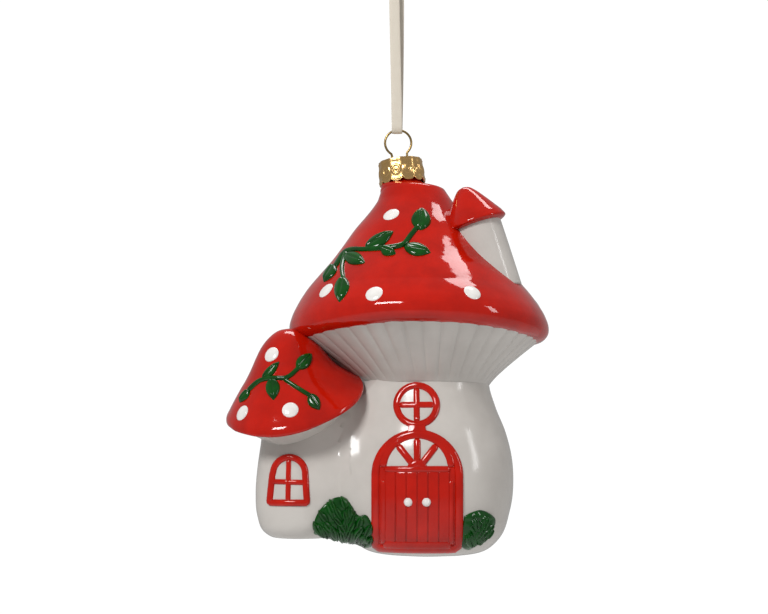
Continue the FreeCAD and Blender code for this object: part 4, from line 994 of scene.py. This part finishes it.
# Bushes: outlines in pixels, how near they lie to the eye, and rows of leaves as (share
# of the way to the rim, count).
LEFT_BUSH = ((314, 534), (315, 520), (321, 509), (328, 502), (339, 497), (348, 500),
             (354, 509), (360, 516), (366, 515), (372, 523), (374, 536), (372, 548),
             (350, 545), (330, 540))
RIGHT_BUSH = ((462, 516), (470, 512), (479, 510), (488, 513), (495, 519), (494, 527),
              (488, 537), (478, 544), (466, 550), (461, 548), (460, 532))
BUSH_SHARE = 0.945
LEAF_ROWS = [(1.0, 18), (0.78, 14), (0.55, 9), (0.3, 5)]


def bush(name, pixels, rows, seed, node):
    """Clump of leaves that fan upwards over a lobed mound, 0.9 (1 - t^3)^0.5 high."""
    outline = np.array([on_photo(column, row, BUSH_SHARE) for column, row in pixels])
    random = np.random.default_rng(seed)
    middle = outline.mean(axis=0)
    rim = smooth_line(np.concatenate([outline, outline[:1]]), 96)[:-1]
    t = np.linspace(1, 0, 22)[:, None, None]
    flat = middle + (rim - middle) * t
    seat, out = on_wall(flat, wall_field)
    mound = 0.9 * np.sqrt(1 - t[..., 0] ** 3)
    lobes = 0.3 * np.abs(np.sin(flat[..., 0] * 1.1 + seed) * np.sin(flat[..., 1] * 1.2))
    lift = mound + lobes * np.minimum(mound * 2, 1)
    lift[0] = -LEAF_SINK
    parts = [mesh_from_grid(name, seat + out * lift[..., None])]
    low = rim[rim[:, 1] < middle[1]]
    low = low[np.argsort(low[:, 0])]
    for share, count in rows:
        for number in range(count):
            target = rim[int((number + random.uniform(0, 0.7)) * len(rim) / count)]
            lean = [0.8 * unit(target - middle)[0], 1.0] + random.normal(0, 0.14, 2)
            lean = unit(lean) * random.uniform(3.6, 4.8)
            tip = middle + (target - middle) * (share + random.uniform(-0.04, 0.04))
            base = tip - lean
            foot = np.interp(base[0], low[:, 0], low[:, 1]) + 1.0
            tip[1] += max(0.0, foot - base[1])
            parts.append(leaf("Leaf", tip - lean, tip, random.uniform(2.3, 3.1),
                              2.3 - 0.7 * share + random.uniform(-0.15, 0.15),
                              wall_field))
    fired(joined(name, parts), "green", node)


class Bushes(bpy.types.Operator):
    """The two leafy bushes beside the door"""

    bl_idname = "ornament.bushes"
    bl_label = "Bushes"

    def execute(self, context):
        bush("Left_Bush", LEFT_BUSH, LEAF_ROWS, 3, "bush_left")
        bush("Right_Bush", RIGHT_BUSH, LEAF_ROWS[1:], 5, "bush_right")
        return {"FINISHED"}


# Crown: height, radius at the foot and how much less at the top, thickness of the sheet,
# and height of the ceiling inside.
CUP_HEIGHT, CUP_RADIUS, CUP_TAPER, CUP_SHEET, CUP_CEILING = 7.2, 6.95, 0.45, 0.35, 6.85


class Crown(bpy.types.Operator):
    """Gilt crown: fluted cup with a boss in a ring on each panel and a toothed edge"""

    bl_idname = "ornament.crown"
    bl_label = "Crown"

    def execute(self, context):
        s = context.scene.ornament_fittings
        turn = whole_turn(720)[None]
        t = np.linspace(0, 1, 60)[:, None]
        phase = (turn * s.panels / (2 * np.pi)) % 1.0
        away = np.hypot((phase - 0.5) * 3.4, (t - 0.5) * 6.2)
        ring = 0.2 * np.exp(-((away - 1.15) / 0.3) ** 2)
        boss = 0.22 * np.exp(-(away / 0.5) ** 2)
        bands = 0.14 * (np.exp(-((t - 0.9) / 0.03) ** 2) + np.exp(-((t - 0.1) / 0.03) ** 2))
        flute = 0.11 * np.cos(turn * s.panels)
        radius = CUP_RADIUS - CUP_TAPER * t + flute + ring + boss + bands
        tooth = (np.abs(phase - 0.5) * 2) ** 3
        outer = rings(radius, CUP_HEIGHT * t + (1 - t) ** 8 * tooth, turn)
        inner = (outer - rings(CUP_SHEET, 0.0, turn))[::-1]
        inner[..., 2] = np.minimum(inner[..., 2], CUP_CEILING)
        share = np.array([0.97, 0.9, 0.5, 0.0])[:, None, None]
        top = outer[-1] * [1, 1, 0] * share + [0, 0, 1] * (
            CUP_HEIGHT + 0.12 * (share < 0.95))
        under = top[::-1] - [0, 0, 0.45]
        cup = moved(np.concatenate([outer, top, under, inner]), CROWN_PLACE)
        dressed(mesh_from_grid("Gilt_Cup", cup, along=True),
                metal("Gilt Sheet", s.gold, 0.26, 1.2, 0.03), "hanger", "gilt_sheet",
                "crown_cap")
        return {"FINISHED"}


def tube(name, path, radius, sides=20):
    """Round wire: circles of a radius carried along a path in a plane square to Y."""
    side = np.cross(unit(np.gradient(path, axis=0)), [0, 1, 0])
    turn = whole_turn(sides)[None, :, None]
    ring = side[:, None] * np.cos(turn) + np.array([0, 1, 0]) * np.sin(turn)
    return mesh_from_grid(name, with_lids(path[:, None] + ring * radius))


# Hanger: its right leg up to the eye, as (across, height) in the crown's place, then the
# height of the eye's middle, its radius, and the radius of the wire.
HANGER_LEG = [(3.4, -22), (3.05, -16), (2.6, -9), (2.28, -4), (2.25, 2), (2.25, 7.2),
              (2.25, 8.3), (2.32, 9.2)]
HANGER_EYE, EYE_RADIUS, WIRE_RADIUS = 13, 4, 0.35


class Wire(bpy.types.Operator):
    """Sprung wire hanger: an eye, two bends and two spread legs"""

    bl_idname = "ornament.wire"
    bl_label = "Wire"

    def execute(self, context):
        s = context.scene.ornament_fittings
        half = smooth_line(np.concatenate([
            HANGER_LEG, arc(0, HANGER_EYE, EYE_RADIUS, -52, 90, 40)]), 160)
        path = np.concatenate([half, half[-2::-1] * [-1, 1]])
        path = moved(np.insert(path, 1, 0.0, axis=1), CROWN_PLACE)
        dressed(tube("Hanger_Wire", path, WIRE_RADIUS),
                metal("Old Gold Spring Wire", s.old_gold, 0.3, 0.8, 0.01), "hanger",
                "spring_wire", "hanger_wire")
        return {"FINISHED"}


# Ribbon: its section, its route down in front, round the wire and up behind, and the
# knot: foot, height, the two radii of its barrel, and one tail over the foot.
RIBBON_WIDTH, RIBBON_THICKNESS, RIBBON_CURL, THREAD = 3.2, 0.3, 0.06, 0.34
KNOT_FOOT = HANG_HEIGHT - 5.0
BIGHT_FOOT = 126.46
RIBBON_ROUTE = [
    (-0.75, -1.2, KNOT_FOOT - 0.2), (-0.55, -1.25, 158), (-0.2, -1.2, 143),
    (0.0, -1.2, 131), (0.02, -1.2, BIGHT_FOOT), (0.14, 1.2, BIGHT_FOOT),
    (0.25, 1.2, 131), (0.5, 1.2, 143), (0.7, 1.25, 158), (0.75, 1.2, KNOT_FOOT - 0.2)]
KNOT_HEIGHT, KNOT_RADIUS, KNOT_DEPTH = 4.7, 2.4, 1.9
KNOT_TAIL = [(0, 0, 4.5), (1.6, 0, 4.6), (3.2, 0.2, 4.2), (4.6, 0.3, 3.0), (5.6, 0.2, 1.0)]


def ribbon_path():
    """Middle line of the ribbon, read from the quadratic NURBS spline whose control
    points are the route's."""
    curve = bpy.data.curves.new("Route", "CURVE")
    curve.dimensions = "3D"
    curve.resolution_u = 24
    spline = curve.splines.new("NURBS")
    spline.points.add(len(RIBBON_ROUTE) - 1)
    for point, place in zip(spline.points, RIBBON_ROUTE):
        point.co = (*place, 1.0)
    spline.order_u = 3
    spline.use_endpoint_u = True
    route = bpy.data.objects.new("Route", curve)
    mesh = bpy.data.meshes.new_from_object(route)
    line = np.array([list(vertex.co) for vertex in mesh.vertices], float)
    bpy.data.meshes.remove(mesh)
    bpy.data.objects.remove(route)
    bpy.data.curves.remove(curve)
    return line


def strap(name, path, across, curl=0.0):
    """Ribbon along a path: a section as wide as the ribbon with edges rounded by
    (1 - t^8)^0.5, bowed by curl."""
    across = np.array(across, float)
    out = unit(np.cross(unit(np.gradient(path, axis=0)), across))
    t = np.concatenate([np.linspace(-1, 1, 17), np.linspace(1, -1, 17)])
    rise = np.where(np.arange(34) < 17, 1, -1) * np.sqrt(1 - (0.97 * t) ** 8) / 2
    bend = curl * (1 - t**2)
    points = (path[:, None] + across * (t * RIBBON_WIDTH / 2)[None, :, None]
              + out[:, None] * (rise * RIBBON_THICKNESS + bend)[None, :, None])
    uv = np.stack(np.broadcast_arrays(t[None] * RIBBON_WIDTH / 2,
                                      run_along(path)[:, None]), axis=-1) * MM
    return mesh_from_grid(name, with_lids(points),
                          uv=np.concatenate([uv[:1], uv, uv[-1:]]))


class Ribbon(bpy.types.Operator):
    """Cream ribbon through the eye, and the knot with cut tails that closes it"""

    bl_idname = "ornament.ribbon"
    bl_label = "Ribbon"

    def execute(self, context):
        s = context.scene.ornament_fittings
        satin = woven("Woven Satin Ribbon", s.cream, s.cream_shade, THREAD)
        path = ribbon_path()
        piece = dressed(strap("Ribbon", path, (1, 0, 0), RIBBON_CURL), satin, "ribbon",
                        "ribbon", "ribbon")
        turn = whole_turn(64)[None]
        t = np.linspace(0, 1, 40)[:, None]
        swell = np.sin(np.pi * (0.14 + 0.72 * t)) ** 0.8 * (
            1 + 0.07 * np.sin(2 * turn + 9 * t) + 0.04 * np.sin(5 * turn - 7 * t))
        barrel = rings(KNOT_RADIUS * swell, KNOT_FOOT + 0.05 + KNOT_HEIGHT * t, turn,
                       KNOT_DEPTH * swell)
        parts = [mesh_from_grid("Knot", with_lids(barrel))]
        for side in (-1, 1):
            tail = np.array(KNOT_TAIL) * [side, 1, 1] + [0, 0, KNOT_FOOT]
            parts.append(strap("Tail", smooth_line(tail, 40), (0, 1, 0)))
        knot = dressed(joined("Ribbon_Knot", parts), satin, "ribbon_top", "ribbon",
                       "ribbon_knot")
        return {"FINISHED"}


# Stage, in metres: half side of the floor and its depth below the house; strength of the
# sky as a lamp and as seen; lamps as (name, place, size, power).
FLOOR_HALF, FLOOR_DEPTH = 1.2, 0.4
SKY_LAMP, SKY_SEEN = 0.36, 1.05
LAMPS = (("Key Softbox", (-0.42, -0.75, 0.42), (0.3, 0.24), 7.8),
         ("Side Softbox", (0.75, -0.35, 0.1), (0.1, 0.4), 1.4),
         ("Top Strip", (0.1, 0.25, 0.75), (0.7, 0.2), 4.0))
# Depth below the origin that the lamps point to, and the camera's height over the
# underside, in mm.
LIT_DEPTH, CAMERA_HEIGHT = 95, 23.3


class Stage(bpy.types.Operator):
    """Pale floor and sky, three soft lamps and the camera at the photograph's angle"""

    bl_idname = "ornament.stage"
    bl_label = "Stage"

    def execute(self, context):
        s = context.scene.ornament_stage
        z = -mm(HANG_HEIGHT) - FLOOR_DEPTH
        mesh = bpy.data.meshes.new("Floor")
        mesh.from_pydata([(FLOOR_HALF * x, FLOOR_HALF * y, z) for x, y in
                          ((-1, -1), (1, -1), (1, 1), (-1, 1))], [], [(0, 1, 2, 3)])
        material, tree = empty_material("Matt White Paper")
        seen = add_node(tree, "ShaderNodeLightPath").outputs["Is Camera Ray"]
        principled(tree, {"Base Color": linear(s.floor), "Roughness": 0.9,
                          "Emission Color": linear(s.floor)},
                   {"Emission Strength": seen})
        mesh.materials.append(material)
        linked("Floor", mesh)

        world = bpy.data.worlds.new("Sky")
        context.scene.world = world
        world.use_nodes = True
        tree = world.node_tree
        tree.nodes.clear()
        seen = add_node(tree, "ShaderNodeLightPath").outputs["Is Camera Ray"]
        both = add_node(tree, "ShaderNodeMixShader", links={"Fac": seen})
        for place, strength in ((1, SKY_LAMP), (2, SKY_SEEN)):
            sky = add_node(tree, "ShaderNodeBackground",
                           {"Color": (1, 1, 1, 1), "Strength": strength})
            tree.links.new(sky.outputs[0], both.inputs[place])
        add_node(tree, "ShaderNodeOutputWorld", links={"Surface": both.outputs[0]})

        target = Vector((0, 0, -mm(LIT_DEPTH)))
        for name, place, size, power in LAMPS:
            lamp = bpy.data.lights.new(name, "AREA")
            lamp.shape = "RECTANGLE"
            lamp.size, lamp.size_y = size
            lamp.energy = power
            light = linked(name, lamp)
            light.location = place
            light.rotation_euler = (target - light.location).to_track_quat(
                "-Z", "Y").to_euler()

        camera = bpy.data.cameras.new("Camera")
        camera.lens = s.lens
        eye = linked("Camera", camera)
        eye.location = (mm(EYE_X), -s.eye_distance, mm(CAMERA_HEIGHT - HANG_HEIGHT))
        eye.rotation_euler = (math.pi / 2 + s.tilt, 0, 0)
        context.scene.camera = eye
        context.scene.view_settings.view_transform = "Standard"
        return {"FINISHED"}


STEPS = (Walls, Gills, Caps, Doorway, Windows, Vines, Spots, Bushes, Crown, Wire, Ribbon,
         Stage)
SETTINGS = {
    "Casting": ("ornament_casting", CastingSettings),
    "Fittings": ("ornament_fittings", FittingSettings),
    "Stage": ("ornament_stage", StageSettings),
}


class OrnamentPanel(bpy.types.Panel):
    """Lists the ornament's steps and their settings"""

    bl_idname = "VIEW3D_PT_ornament"
    bl_label = "Toadstool house"
    bl_space_type = "VIEW_3D"
    bl_region_type = "UI"
    bl_category = "Ornament"

    def draw(self, context):
        layout = self.layout
        for title, (attribute, group) in SETTINGS.items():
            box = layout.box()
            box.label(text=title)
            for key in group.__annotations__:
                box.prop(getattr(context.scene, attribute), key)
        for step in STEPS:
            layout.operator(step.bl_idname)


def register():
    for attribute, group in SETTINGS.values():
        bpy.utils.register_class(group)
        setattr(bpy.types.Scene, attribute, bpy.props.PointerProperty(type=group))
    for item in STEPS + (OrnamentPanel,):
        bpy.utils.register_class(item)


def unregister():
    for item in reversed(STEPS + (OrnamentPanel,)):
        bpy.utils.unregister_class(item)
    for attribute, group in SETTINGS.values():
        delattr(bpy.types.Scene, attribute)
        bpy.utils.unregister_class(group)


def main():
    register()
    for step in STEPS:
        family, name = step.bl_idname.split(".")
        getattr(getattr(bpy.ops, family), name)()
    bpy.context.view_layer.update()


if __name__ == "__main__":
    main()
